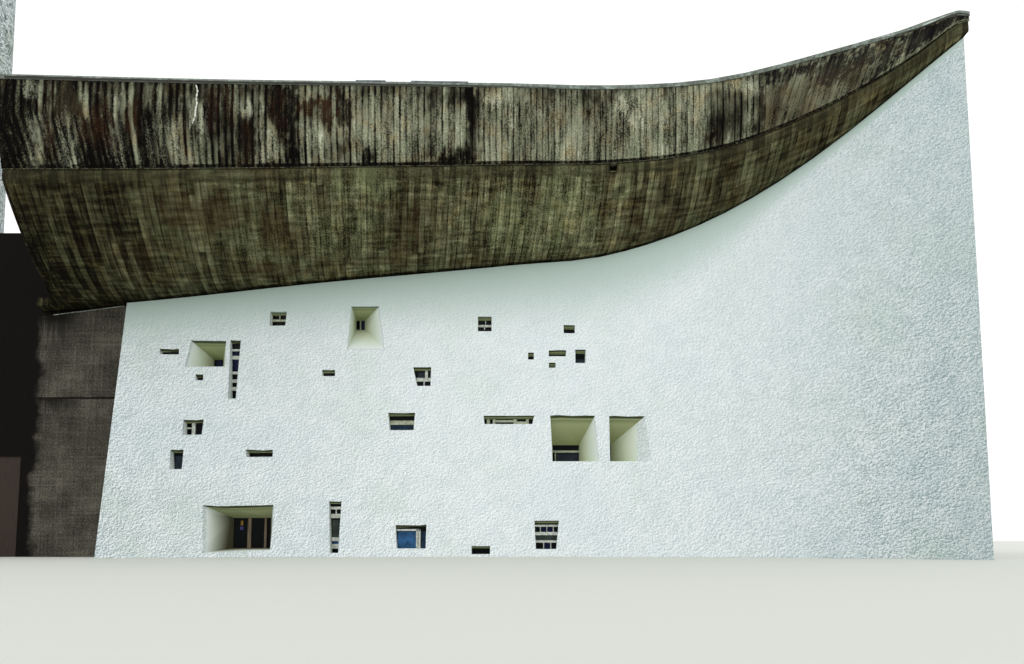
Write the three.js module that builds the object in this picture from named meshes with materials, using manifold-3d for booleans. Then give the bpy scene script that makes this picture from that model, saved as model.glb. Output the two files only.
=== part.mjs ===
// A modern church: thick battered walls of white roughcast with deep splayed windows, and a
// boat-shaped roof of two board-marked concrete shells that rises to a prow over the south-east
// corner. Millimetres. X runs along the nave to the east, Y to the north, Z up from the ground.
import * as THREE from 'three';
import { mergeVertices } from 'three/addons/utils/BufferGeometryUtils.js';
import Module from 'manifold-3d';

const wasm = await Module();
wasm.setup();

// Gap between pieces that touch. The wider ones are where a curved piece passes another, and where
// a straight edge lies along the south wall's curved inner face.
const SEAT = 0.3;
const CLEARANCE = 20;
const WALL_SLACK = 8;

// Cutting bodies run this far out, past the part on every side.
const FAR = 30000;

// South wall. Each line is a list of [x, value] knots along the nave.
const WALL_WEST = -11600;
const WALL_EAST = 12150;
const WALL_JOINTS = [-6500, -1750, 910, 2770, 8000];
const wallFootY = along([
  [-11600, -7950], [-6000, -7070], [0, -6700], [4000, -6900], [8000, -7800], [12150, -9700],
]);
const wallTopY = along([
  [-11600, -6930], [-6000, -6150], [0, -5900], [4000, -6300], [8000, -7350], [12150, -9640],
]);
const wallTopZ = along([
  [-14000, 7400], [-11600, 7620], [-6000, 8540], [0, 9210], [3000, 9430], [6000, 10260],
  [9000, 11770], [12150, 13980],
]);
const WALL_FOOT_THICKNESS_WEST = 3700;
const WALL_FOOT_THICKNESS_EAST = 600;
const WALL_STEP = 800;

// The other walls of the nave.
const PLAIN_WALL_THICKNESS = 600;
const NORTH_FACE = 6300;
const EAST_FACE = 9900;
const WEST_FACE = -17300;
const WEST_WALL_THICKNESS = 500;
const PARAPET_TOP = 10200;
const NORTH_WALL_JOINT = -3700;
const WALL_STOCK_TOP = 15000;
const northTopZ = along([[-16800, 7200], [0, 8100], [9600, 8700], [12400, 8900]]);

// Concrete wall set back under the west end of the roof, with the main door in it.
const PORCH_FACE = -6700;
const PORCH_THICKNESS = 400;
const PORCH_HIGH_TOP = 9900;
const DOOR_LEFT = -16600;
const DOOR_RIGHT = -14700;
const DOOR_HEAD = 3000;
const DOOR_THICKNESS = 120;
const DOOR_SETBACK = 60;
const PORCH_PIER = { x: -12900, width: 400, depth: 200, foot: 6500, head: 9000 };

// Tower.
const TOWER_X = -19200;
const TOWER_Y = -5700;
const TOWER_FOOT_RADIUS = 2300;
const TOWER_TOP_RADIUS = 2180;
const TOWER_SHELL = 350;
const TOWER_SHOULDER = 19800;
const TOWER_TOP = 22000;
const TOWER_SIDES = 32;
const DOME_STEPS = 7;

// Roof: a lower shell, an upper shell about 2.3 m above it, and a band round the edge.
const ROOF_WEST = -17000;
const ROOF_EAST = 12400;
const ROOF_STEP = 1000;
const ROOF_CORNER_X = -12830;
const ROOF_CORNER_Y = -10800;
const ROOF_WEST_SWEEP = 1200;
const ROOF_WEST_POWER = 2.5;
const ROOF_WEST_STEP = 900;
const rimY = along([
  [-13000, -10800], [-8000, -9650], [-4000, -8850], [0, -8200], [3000, -7900], [6000, -8000],
  [9000, -8600], [12450, -9880],
]);
const rimZ = along([
  [-13000, 12100], [-8000, 12770], [-4000, 13270], [0, 13670], [3000, 13820], [6000, 13970],
  [9000, 14360], [11100, 14540], [11950, 14680], [12250, 14560],
]);
const NORTH_RIM = 8600;
const NORTH_EAST_X = 11700;
const NORTH_RIM_RISE = 4500;
const BAND_HEIGHT = 2320;
const BAND_HEIGHT_AT_PROW = 240;
const BAND_TAPER_LENGTH = 3600;
const BAND_TAPER_POWER = 1.15;
const BAND_THICKNESS = 220;
const BAND_INSET = 280;
const BAND_PROUD = 40;
const LOWER_SHELL = 250;
const LOWER_SHELL_JOINT = -2200;
const UPPER_SHELL = 150;
const CAP_HEIGHT = 120;
const CAP_WIDTH = 420;
const CAP_PROUD = 30;
const HULL_POWER = 1.8;
const CEILING_SAG = 500;
const PROW_DROP = 20;
const DRAIN_X = 2990;
const DRAIN_WIDTH = 230;
const DRAIN_HEIGHT = 240;
const DRAIN_DEPTH = 300;
const LIGHT_SLIT = 100;
const LIGHT_SLIT_AT_PROW = 45;
const PROW = new THREE.Vector2(12220, -9800);
const PROW_CREST_X = 11950;
const EAST_EDGE_BEND = new THREE.Vector2(10300, -2000);
const EAST_EDGE_STEPS = 14;
const ROW_SPACING_AT_PROW = 30;

// Short pier heads carry the roof above the light slit.
const PIER_HEAD = 320;
const PIER_HEAD_REACH = 400;
const PIER_HEADS = [-11000, -7600, -4200, -1000, 3400, 5600, 7400, 9200, 11000];

// Windows of the south wall. A mouth is the window's outline on the wall's face: its corners go
// round from the top west one by the east. A slot's sides go straight in and its head slopes down
// to the pane, and a niche narrows to a small pane. Both run on to the inner face.
const SLOT_DEPTH = 200;
const SHALLOW = 120;
const SLOT_HEAD_DROP = 70;
const PANE = 20;
const RECESS_OVERCUT = 200;
const SOUTH_SLOTS = [
  { number: '01', depth: SHALLOW, mouth: [[-10530, 6200], [-10000, 6220], [-9980, 6040], [-10510, 6020]] },
  { number: '03', depth: SLOT_DEPTH, mouth: [[-8560, 6550], [-8260, 6570], [-8270, 4720], [-8490, 4710]] },
  { number: '04', depth: SHALLOW, mouth: [[-9460, 5430], [-9250, 5440], [-9230, 5260], [-9440, 5250]] },
  { number: '05', depth: SLOT_DEPTH, mouth: [[-7460, 7530], [-6970, 7550], [-6990, 7090], [-7460, 7070]] },
  { number: '07', depth: SHALLOW, mouth: [[-5810, 5690], [-5430, 5700], [-5420, 5500], [-5800, 5490]] },
  { number: '08', depth: SLOT_DEPTH, mouth: [[-3050, 5820], [-2500, 5830], [-2510, 5230], [-2920, 5220]] },
  { number: '09', depth: SLOT_DEPTH, mouth: [[-9670, 4020], [-9110, 4050], [-9130, 3590], [-9650, 3570]] },
  { number: '10', depth: SLOT_DEPTH, mouth: [[-9940, 3120], [-9580, 3130], [-9580, 2550], [-9900, 2540]] },
  { number: '11', depth: SLOT_DEPTH, mouth: [[-7860, 3160], [-7110, 3170], [-7100, 2960], [-7850, 2940]] },
  { number: '13', depth: SLOT_DEPTH, mouth: [[-5410, 1640], [-5050, 1640], [-5080, 120], [-5320, 120]] },
  { number: '14', depth: SHALLOW, mouth: [[-3450, 940], [-2540, 960], [-2550, 250], [-3400, 250]] },
  { number: '15', depth: SLOT_DEPTH, mouth: [[-3770, 4360], [-2960, 4370], [-2990, 3830], [-3720, 3820]] },
  { number: '16', depth: SLOT_DEPTH, mouth: [[-870, 4290], [690, 4290], [620, 4030], [-840, 4030]] },
  { number: '19', depth: SLOT_DEPTH, mouth: [[-1070, 7490], [-640, 7490], [-640, 7010], [-1070, 7010]] },
  { number: '20', depth: SLOT_DEPTH, mouth: [[1610, 7180], [1960, 7170], [1960, 6910], [1610, 6920]] },
  { number: '21', depth: SLOT_DEPTH, mouth: [[500, 6300], [680, 6300], [680, 6080], [500, 6080]] },
  { number: '22', depth: SLOT_DEPTH, mouth: [[1140, 6360], [1680, 6360], [1670, 6170], [1140, 6180]] },
  { number: '23', depth: SLOT_DEPTH, mouth: [[1140, 5970], [1350, 5960], [1350, 5810], [1140, 5810]] },
  { number: '24', depth: SLOT_DEPTH, mouth: [[1960, 6370], [2280, 6360], [2270, 5940], [1960, 5950]] },
  { number: '25', depth: SLOT_DEPTH, mouth: [[-1200, 320], [-650, 320], [-650, 80], [-1200, 80]] },
  { number: '26', depth: SLOT_DEPTH, mouth: [[670, 1070], [1400, 1070], [1320, 230], [710, 230]] },
];
const SOUTH_NICHES = [
  {
    number: '02', left: -9370, right: -9080, sill: 5930, head: 6150, depth: 900,
    mouth: [[-9680, 6500], [-8680, 6520], [-8640, 5710], [-9790, 5660]],
  },
  {
    number: '06', left: -5040, right: -4770, sill: 7280, head: 7580, depth: 850,
    mouth: [[-5020, 7780], [-4160, 7800], [-3940, 6370], [-5090, 6350]],
  },
  {
    number: '12', left: -8370, right: -7250, sill: 260, head: 1160, depth: 800,
    mouth: [[-8930, 1500], [-6990, 1520], [-7000, 200], [-8830, 120]],
  },
  {
    number: '17', left: 1280, right: 2120, sill: 2980, head: 3490, depth: 900,
    mouth: [[1170, 4280], [2520, 4260], [2630, 2860], [1220, 2870]],
  },
  {
    number: '18', left: 2900, right: 3120, sill: 2950, head: 3500, depth: 1000,
    mouth: [[2950, 4240], [4000, 4210], [4170, 2840], [2950, 2860]],
  },
];
const NORTH_SLOTS = [
  { number: '1', left: -13200, right: -12300, sill: 2400, head: 3100 },
  { number: '2', left: -7900, right: -7500, sill: 3600, head: 5000 },
  { number: '3', left: 800, right: 1700, sill: 4300, head: 4800 },
  { number: '4', left: 5200, right: 5700, sill: 1500, head: 2500 },
];
const EAST_SLOTS = [
  { number: '1', south: -3600, north: -3000, sill: 4600, head: 5600 },
  { number: '2', south: 1900, north: 2700, sill: 2200, head: 2700 },
];
const PLAIN_SLOT_DEPTH = 250;

const FLOOR_THICKNESS = 120;

const roughcast = new THREE.MeshStandardMaterial({ color: '#e3ebea', roughness: 0.95, metalness: 0 });
const bandConcrete = new THREE.MeshStandardMaterial({ color: '#7b725f', roughness: 0.9, metalness: 0 });
const soffitConcrete = new THREE.MeshStandardMaterial({ color: '#4f4a35', roughness: 0.9, metalness: 0 });
const porchConcrete = new THREE.MeshStandardMaterial({ color: '#4b4540', roughness: 0.9, metalness: 0 });
const capMortar = new THREE.MeshStandardMaterial({ color: '#8f9a8e', roughness: 0.7, metalness: 0.1 });
const glass = new THREE.MeshStandardMaterial({ color: '#4c565c', roughness: 0.15, metalness: 0 });
const doorPaint = new THREE.MeshStandardMaterial({ color: '#5a3f33', roughness: 0.6, metalness: 0 });
const floorStone = new THREE.MeshStandardMaterial({ color: '#8d8a83', roughness: 0.8, metalness: 0 });

const church = new THREE.Group();

// A smooth line through [x, value] knots, run on straight past both ends.
function along(knots) {
  const last = knots.length - 1;
  const slope = knots.map((_, i) => {
    const [x0, v0] = knots[Math.max(i - 1, 0)];
    const [x1, v1] = knots[Math.min(i + 1, last)];
    return (v1 - v0) / (x1 - x0);
  });
  return (x) => {
    if (x <= knots[0][0]) return knots[0][1] + slope[0] * (x - knots[0][0]);
    if (x >= knots[last][0]) return knots[last][1] + slope[last] * (x - knots[last][0]);
    const i = knots.findIndex(([edge]) => x < edge) - 1;
    const span = knots[i + 1][0] - knots[i][0];
    const t = (x - knots[i][0]) / span;
    const eased = t * t * (3 - 2 * t);
    const swing = span * t * (1 - t) * ((1 - t) * slope[i] - t * slope[i + 1]);
    return THREE.MathUtils.lerp(knots[i][1], knots[i + 1][1], eased) + swing;
  };
}

function solidOf(geometry) {
  const bare = geometry.index ? geometry.toNonIndexed() : geometry;
  bare.deleteAttribute('normal');
  bare.deleteAttribute('uv');
  const welded = mergeVertices(bare, 1e-3);
  return new wasm.Manifold(new wasm.Mesh({
    numProp: 3,
    vertProperties: new Float32Array(welded.attributes.position.array),
    triVerts: new Uint32Array(welded.index.array),
  }));
}

function geometryOf(solid) {
  const mesh = solid.getMesh();
  const geometry = new THREE.BufferGeometry();
  geometry.setAttribute('position', new THREE.BufferAttribute(new Float32Array(mesh.vertProperties), 3));
  geometry.setIndex(new THREE.BufferAttribute(new Uint32Array(mesh.triVerts), 1));
  geometry.computeVertexNormals();
  return geometry;
}

function addPiece(name, solid, material) {
  const piece = new THREE.Mesh(geometryOf(solid), material);
  piece.name = name;
  church.add(piece);
}

// A closed solid from corners and faces, turned so that its faces point out.
function closedSolid(corners, faces) {
  const volume = faces.reduce((sum, [a, b, c]) => (
    sum + corners[a].dot(new THREE.Vector3().crossVectors(corners[b], corners[c]))), 0);
  const turned = volume < 0 ? faces.map(([a, b, c]) => [a, c, b]) : faces;
  const geometry = new THREE.BufferGeometry().setFromPoints(turned.flat().map((i) => corners[i]));
  return solidOf(geometry);
}

// Skin over a row of convex rings that have the same number of corners.
function loft(rings) {
  const count = rings[0].length;
  const faces = [];
  for (let r = 0; r + 1 < rings.length; r += 1) {
    for (let i = 0; i < count; i += 1) {
      const a = r * count + i;
      const b = r * count + ((i + 1) % count);
      faces.push([a, b, b + count], [a, b + count, a + count]);
    }
  }
  const end = (rings.length - 1) * count;
  for (let i = 1; i + 1 < count; i += 1) {
    faces.push([0, i + 1, i], [end, end + i, end + i + 1]);
  }
  return closedSolid(rings.flat(), faces);
}

// Solid between two height surfaces over a grid. rows holds plan lines y(x), from south to north.
function sheet(xs, rows, under, over) {
  const corners = [];
  xs.forEach((x) => rows.forEach((row, r) => {
    const y = row(x);
    corners.push(new THREE.Vector3(x, y, under(x, r)), new THREE.Vector3(x, y, over(x, r)));
  }));
  const at = (i, r, top) => 2 * (i * rows.length + r) + top;
  const faces = [];
  const quad = (a, b, c, d) => faces.push([a, b, c], [a, c, d]);
  const lastX = xs.length - 1;
  const lastRow = rows.length - 1;
  for (let i = 0; i < lastX; i += 1) {
    for (let r = 0; r < lastRow; r += 1) {
      quad(at(i, r, 1), at(i + 1, r, 1), at(i + 1, r + 1, 1), at(i, r + 1, 1));
      quad(at(i, r, 0), at(i, r + 1, 0), at(i + 1, r + 1, 0), at(i + 1, r, 0));
    }
    quad(at(i, 0, 0), at(i + 1, 0, 0), at(i + 1, 0, 1), at(i, 0, 1));
    quad(at(i, lastRow, 0), at(i, lastRow, 1), at(i + 1, lastRow, 1), at(i + 1, lastRow, 0));
  }
  for (let r = 0; r < lastRow; r += 1) {
    quad(at(0, r, 0), at(0, r, 1), at(0, r + 1, 1), at(0, r + 1, 0));
    quad(at(lastX, r, 0), at(lastX, r + 1, 0), at(lastX, r + 1, 1), at(lastX, r, 1));
  }
  return closedSolid(corners, faces);
}

function block(x0, x1, y0, y1, z0, z1) {
  const geometry = new THREE.BoxGeometry(x1 - x0, y1 - y0, z1 - z0);
  geometry.translate((x0 + x1) / 2, (y0 + y1) / 2, (z0 + z1) / 2);
  return solidOf(geometry);
}

// Upright prism over a plan outline of [x, y] corners.
function prism(outline, z0, z1) {
  const shape = new THREE.Shape(outline.map(([x, y]) => new THREE.Vector2(x, y)));
  const geometry = new THREE.ExtrudeGeometry(shape, { depth: z1 - z0, bevelEnabled: false });
  geometry.translate(0, 0, z0);
  return solidOf(geometry);
}

function stations(from, to, step) {
  const count = Math.max(1, Math.round((to - from) / step));
  return Array.from({ length: count + 1 }, (_, i) => from + ((to - from) * i) / count);
}

function wallInnerY(x) {
  const share = (x - WALL_WEST) / (WALL_EAST - WALL_WEST);
  return wallFootY(x) + THREE.MathUtils.lerp(WALL_FOOT_THICKNESS_WEST, WALL_FOOT_THICKNESS_EAST, share);
}

// Y of the battered south face at a height.
function southFaceY(x, z) {
  return THREE.MathUtils.lerp(wallFootY(x), wallTopY(x), z / wallTopZ(x));
}

// Height of the band round the roof, which thins out towards the prow.
function bandHeight(x, y) {
  const distance = PROW.distanceTo(new THREE.Vector2(x, y));
  const grown = 1 - Math.exp(-((distance / BAND_TAPER_LENGTH) ** BAND_TAPER_POWER));
  return THREE.MathUtils.lerp(BAND_HEIGHT_AT_PROW, BAND_HEIGHT, grown);
}

function southJointY(x) {
  return rimY(x) + (BAND_INSET * bandHeight(x, rimY(x))) / BAND_HEIGHT;
}

function southJointZ(x) {
  return rimZ(x) - bandHeight(x, rimY(x));
}

function northRimZ(x) {
  return northTopZ(x) + NORTH_RIM_RISE;
}

function northJointZ(x) {
  return northRimZ(x) - bandHeight(x, NORTH_RIM);
}

function slitHeight(x) {
  const share = THREE.MathUtils.clamp((x - WALL_WEST) / (WALL_EAST - WALL_WEST), 0, 1);
  return THREE.MathUtils.lerp(LIGHT_SLIT, LIGHT_SLIT_AT_PROW, share ** 2);
}

// Rows of the roof from south to north. Each gives its plan line and its height on the underside.
function hullRow(edgeY, edgeZ, seatY, seatZ, share) {
  return {
    y: (x) => THREE.MathUtils.lerp(edgeY(x), seatY(x), share),
    z: (x) => seatZ(x) + (edgeZ(x) - LOWER_SHELL - seatZ(x)) * (1 - share) ** HULL_POWER,
  };
}

function ceilingRow(share) {
  const sag = CEILING_SAG * 4 * share * (1 - share);
  return {
    y: (x) => THREE.MathUtils.lerp(wallInnerY(x), NORTH_FACE - PLAIN_WALL_THICKNESS, share),
    z: (x) => THREE.MathUtils.lerp(soffitSeatZ(x), northTopZ(x), share) - sag,
  };
}

// Height of the underside over the wall. Past the wall's end it stays below the joint.
function soffitSeatZ(x) {
  return Math.min(wallTopZ(x) + slitHeight(x), southJointZ(x) - LOWER_SHELL - PROW_DROP);
}

const northJointY = () => NORTH_RIM - BAND_INSET;
const northSeatY = () => NORTH_FACE;
const ROOF_ROWS = [
  ...[0, 0.2, 0.45, 0.7, 1].map((s) => hullRow(southJointY, southJointZ, wallTopY, soffitSeatZ, s)),
  ...[0, 0.3, 0.6, 1].map(ceilingRow),
  ...[1, 0.6, 0.3, 0].map((s) => hullRow(northJointY, northJointZ, northSeatY, northTopZ, s)),
];
const LAST_ROW = ROOF_ROWS.length - 1;
const NORTH_WEST_X = WEST_FACE + WEST_WALL_THICKNESS + SEAT;
const roofStations = [
  ROOF_WEST,
  ...stations(NORTH_WEST_X, ROOF_CORNER_X, ROOF_STEP).slice(0, -1),
  ...stations(ROOF_CORNER_X, NORTH_EAST_X, ROOF_STEP),
  PROW_CREST_X,
  PROW.x,
  ROOF_EAST,
];
const southRun = roofStations.filter((x) => x >= ROOF_CORNER_X && x <= PROW.x);
const northRun = roofStations.filter((x) => x >= NORTH_WEST_X && x <= NORTH_EAST_X);
const rowLines = ROOF_ROWS.map((row) => row.y);
const underside = (x, r) => ROOF_ROWS[r].z(x);
const lowerTop = (x, r) => underside(x, r) + LOWER_SHELL;

// The upper shell starts behind the band, and its rows keep their order where the roof narrows.
const upperLines = rowLines.map((line, r) => {
  if (r === LAST_ROW) return () => NORTH_RIM - BAND_THICKNESS - CLEARANCE;
  return (x) => {
    const bandBack = rimY(x) + BAND_THICKNESS + CLEARANCE;
    return r === 0 ? bandBack : Math.max(line(x), bandBack + r * ROW_SPACING_AT_PROW);
  };
});

function upperTop(x, r) {
  if (r === 0) return rimZ(x) - CAP_HEIGHT;
  if (r === LAST_ROW) return northRimZ(x) - CAP_HEIGHT;
  return lowerTop(x, r) + bandHeight(x, rowLines[r](x)) - CAP_HEIGHT;
}

// The cap is level over the band, then follows the upper shell.
const capLines = [(x) => rimY(x) - CAP_PROUD, ...upperLines, () => NORTH_RIM + CAP_PROUD];
const capSeat = (x, c) => upperTop(x, THREE.MathUtils.clamp(c - 1, 0, LAST_ROW));

function roofWestX(y) {
  const share = Math.max(0, y - ROOF_CORNER_Y) / (PORCH_FACE - ROOF_CORNER_Y);
  return ROOF_CORNER_X - ROOF_WEST_SWEEP * share ** ROOF_WEST_POWER;
}

// Plan outline of the roof. The west edge passes the porch wall, then follows the west wall.
function roofOutline(inset) {
  const porchBack = PORCH_FACE + PORCH_THICKNESS + SEAT;
  const east = new THREE.QuadraticBezierCurve(
    PROW, EAST_EDGE_BEND, new THREE.Vector2(NORTH_EAST_X, NORTH_RIM));
  const eastEdge = east.getPoints(EAST_EDGE_STEPS).map((p) => [p.x - inset, p.y]);
  const westEdge = stations(ROOF_CORNER_Y, PORCH_FACE, ROOF_WEST_STEP).reverse();
  return [
    [eastEdge[0][0], -FAR],
    ...eastEdge,
    [eastEdge.at(-1)[0], FAR],
    [NORTH_WEST_X + inset, FAR],
    [NORTH_WEST_X + inset, NORTH_FACE],
    [NORTH_WEST_X, NORTH_FACE],
    [NORTH_WEST_X, porchBack],
    [roofWestX(PORCH_FACE) + inset, porchBack],
    ...westEdge.map((y) => [roofWestX(y) + inset, y]),
    [ROOF_CORNER_X + inset, -FAR],
  ];
}

function buildRoof() {
  const plan = prism(roofOutline(0), -FAR, FAR);
  const innerPlan = prism(roofOutline(BAND_THICKNESS), -FAR, FAR);
  const edgeStrip = plan.subtract(prism(roofOutline(BAND_THICKNESS - SEAT), -FAR, FAR));

  const lower = sheet(roofStations, rowLines, underside, lowerTop).intersect(plan).subtract(drainNotch());
  const westOfJoint = block(-FAR, LOWER_SHELL_JOINT - SEAT / 2, -FAR, FAR, -FAR, FAR);
  const eastOfJoint = block(LOWER_SHELL_JOINT + SEAT / 2, FAR, -FAR, FAR, -FAR, FAR);
  addPiece('roof_lower_shell_west', lower.intersect(westOfJoint), soffitConcrete);
  addPiece('roof_lower_shell_east', lower.intersect(eastOfJoint), soffitConcrete);

  const upper = sheet(roofStations, upperLines, (x, r) => upperTop(x, r) - UPPER_SHELL, upperTop);
  addPiece('roof_upper_shell', upper.intersect(innerPlan), bandConcrete);

  const shellZone = sheet(roofStations, rowLines, () => -FAR, (x, r) => lowerTop(x, r) + SEAT);
  addPiece('roof_band_south', southBand().subtract(shellZone), bandConcrete);
  addPiece('roof_band_north', northBand().subtract(shellZone), bandConcrete);

  const underCap = sheet(roofStations, capLines, () => -FAR, (x, c) => capSeat(x, c) - SEAT);
  const ends = underCap.intersect(edgeStrip).subtract(shellZone).subtract(longBandZones());
  const eastHalf = block(0, FAR, -FAR, FAR, -FAR, FAR);
  const southWest = block(-FAR, 0, -FAR, PORCH_FACE - SEAT, -FAR, FAR);
  const northWest = block(-FAR, 0, NORTH_FACE + SEAT, FAR, -FAR, FAR);
  addPiece('roof_band_east', ends.intersect(eastHalf), bandConcrete);
  addPiece('roof_band_west', ends.intersect(southWest), bandConcrete);
  addPiece('roof_band_northwest', ends.intersect(northWest), bandConcrete);
  addPiece('roof_edge_cap', edgeCap(), capMortar);
}

// Rainwater that gets behind the band leaves by a notch in the lower shell's edge.
function drainNotch() {
  const foot = southJointZ(DRAIN_X) - DRAIN_HEIGHT;
  return block(
    DRAIN_X - DRAIN_WIDTH / 2, DRAIN_X + DRAIN_WIDTH / 2, -FAR, southJointY(DRAIN_X) + DRAIN_DEPTH, foot, FAR);
}

// Room taken by the south and north bands, where the bands of the short ends stop.
function longBandZones() {
  const depth = BAND_THICKNESS - BAND_PROUD + CLEARANCE;
  const south = sheet(roofStations, [() => -FAR, (x) => southJointY(x) + depth], () => -FAR, () => FAR);
  return south.add(block(-FAR, FAR, northJointY() - depth, FAR, -FAR, FAR));
}

// The band stands on the lower shell's edge, upright above and curving in at its foot.
function bandRing(x, rim, inward, top, foot) {
  const inset = (BAND_INSET * (top + CAP_HEIGHT - foot)) / BAND_HEIGHT - BAND_PROUD;
  const outer = [0, 0.5, 0.8, 1].map((drop) => (
    new THREE.Vector3(x, rim + inward * inset * drop ** 2.5, THREE.MathUtils.lerp(top, foot, drop))));
  const backFoot = rim + inward * (inset + BAND_THICKNESS);
  return [
    ...outer,
    new THREE.Vector3(x, backFoot, foot),
    new THREE.Vector3(x, rim + inward * BAND_THICKNESS, top),
  ];
}

function southBand() {
  return loft(southRun.map((x) => (
    bandRing(x, rimY(x), 1, rimZ(x) - CAP_HEIGHT - SEAT, southJointZ(x) + SEAT))));
}

function northBand() {
  return loft(northRun.map((x) => (
    bandRing(x, NORTH_RIM, -1, northRimZ(x) - CAP_HEIGHT - SEAT, northJointZ(x) + SEAT))));
}

function edgeCap() {
  const cover = sheet(
    roofStations, capLines, (x, c) => capSeat(x, c) + SEAT, (x, c) => capSeat(x, c) + CAP_HEIGHT);
  const openLines = [(x) => rimY(x) + CAP_WIDTH, () => NORTH_RIM - CAP_WIDTH];
  const open = sheet(roofStations, openLines, () => -FAR, () => FAR);
  const inner = open.intersect(prism(roofOutline(CAP_WIDTH), -FAR, FAR));
  return cover.intersect(prism(roofOutline(0), -FAR, FAR)).subtract(inner);
}

// Everything above the soffit, lowered by a gap. Walls are cut off under it.
function aboveSoffit(gap) {
  return sheet(roofStations, rowLines, (x, r) => underside(x, r) - gap, () => FAR);
}

function wallSection(x) {
  return [
    new THREE.Vector3(x, wallFootY(x), 0),
    new THREE.Vector3(x, wallTopY(x), wallTopZ(x)),
    new THREE.Vector3(x, wallInnerY(x), wallTopZ(x)),
    new THREE.Vector3(x, wallInnerY(x), 0),
  ];
}

// Outline at the inner end of a recess, its corners in the mouth's order.
function slotEnd({ mouth }) {
  return mouth.map(([x, z], i) => [x, i < 2 ? z - SLOT_HEAD_DROP : z]);
}

function nicheEnd({ left, right, sill, head }) {
  return [[left, head], [right, head], [right, sill], [left, sill]];
}

function upright(outline, y) {
  return outline.map(([x, z]) => new THREE.Vector3(x, y, z));
}

// Middle of a mouth gives the wall's face there, and the recess's end lies behind it.
function recessEndY({ mouth, depth }) {
  const faces = mouth.map(([x, z]) => southFaceY(x, z));
  return faces.reduce((sum, y) => sum + y, 0) / faces.length + depth;
}

function recessCut(window, end) {
  const { mouth } = window;
  const endY = recessEndY(window);
  const frontY = Math.min(...mouth.map(([x, z]) => southFaceY(x, z))) - RECESS_OVERCUT;
  const front = mouth.map(([x, z], i) => {
    const reach = (frontY - endY) / (southFaceY(x, z) - endY);
    return new THREE.Vector3(
      THREE.MathUtils.lerp(end[i][0], x, reach), frontY, THREE.MathUtils.lerp(end[i][1], z, reach));
  });
  const tunnel = loft([upright(end, endY - SEAT), upright(end, 0)]);
  return loft([front, upright(end, endY)]).add(tunnel);
}

function southPane(window, end) {
  const y = recessEndY(window) + PANE;
  const shrunk = end.map(([x, z], i) => [
    x + (i === 0 || i === 3 ? SEAT : -SEAT), z + (i < 2 ? -SEAT : SEAT)]);
  return loft([upright(shrunk, y), upright(shrunk, y + PANE)]);
}

function pane(window, y) {
  const { left, right, sill, head } = window;
  return block(left + SEAT, right - SEAT, y, y + PANE, sill + SEAT, head - SEAT);
}

function pierHead(x) {
  const middle = (wallTopY(x) + wallInnerY(x)) / 2;
  const half = Math.min(PIER_HEAD, 0.6 * (wallInnerY(x) - wallTopY(x))) / 2;
  const top = wallTopZ(x);
  return block(
    x - PIER_HEAD / 2, x + PIER_HEAD / 2, middle - half, middle + half,
    top - PIER_HEAD_REACH, top + PIER_HEAD_REACH);
}

function buildSouthWall() {
  const recesses = [
    ...SOUTH_SLOTS.map((slot) => ({ window: slot, end: slotEnd(slot) })),
    ...SOUTH_NICHES.map((niche) => ({ window: niche, end: nicheEnd(niche) })),
  ];
  const windowCuts = recesses.map(({ window, end }) => recessCut(window, end));
  const seatCut = aboveSoffit(SEAT);
  const slitCut = aboveSoffit(LIGHT_SLIT_AT_PROW / 2);
  const edges = [WALL_WEST, ...WALL_JOINTS, WALL_EAST];
  for (let i = 0; i + 1 < edges.length; i += 1) {
    const from = edges[i] + (i > 0 ? SEAT / 2 : 0);
    const to = edges[i + 1] - (i + 2 < edges.length ? SEAT / 2 : 0);
    let wall = loft(stations(from, to, WALL_STEP).map(wallSection)).subtract(slitCut);
    PIER_HEADS.filter((x) => x > from && x < to).forEach((x) => {
      wall = wall.add(pierHead(x).subtract(seatCut));
    });
    windowCuts.forEach((cut) => {
      wall = wall.subtract(cut);
    });
    addPiece(`south_wall_${i + 1}`, wall, roughcast);
  }
  recesses.forEach(({ window, end }) => (
    addPiece(`south_pane_${window.number}`, southPane(window, end), glass)));
}

function towerSolid(grow) {
  const profile = [
    new THREE.Vector2(0, -CLEARANCE),
    new THREE.Vector2(TOWER_FOOT_RADIUS + grow, -CLEARANCE),
    new THREE.Vector2(TOWER_FOOT_RADIUS + grow, 0),
    new THREE.Vector2(TOWER_TOP_RADIUS + grow, TOWER_SHOULDER),
    new THREE.Vector2(0, TOWER_SHOULDER),
  ];
  return standOnTower(new THREE.LatheGeometry(profile, TOWER_SIDES));
}

function standOnTower(geometry) {
  geometry.rotateX(Math.PI / 2);
  geometry.translate(TOWER_X, TOWER_Y, 0);
  return closedLathe(geometry);
}

// A lathe's faces may point in after the turn, so a solid with negative volume is turned over.
function closedLathe(geometry) {
  const bare = geometry.toNonIndexed();
  const positions = bare.attributes.position;
  const corners = [];
  const faces = [];
  for (let i = 0; i < positions.count; i += 1) {
    corners.push(new THREE.Vector3().fromBufferAttribute(positions, i));
  }
  for (let i = 0; i < positions.count; i += 3) {
    faces.push([i, i + 1, i + 2]);
  }
  return closedSolid(corners, faces);
}

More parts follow.
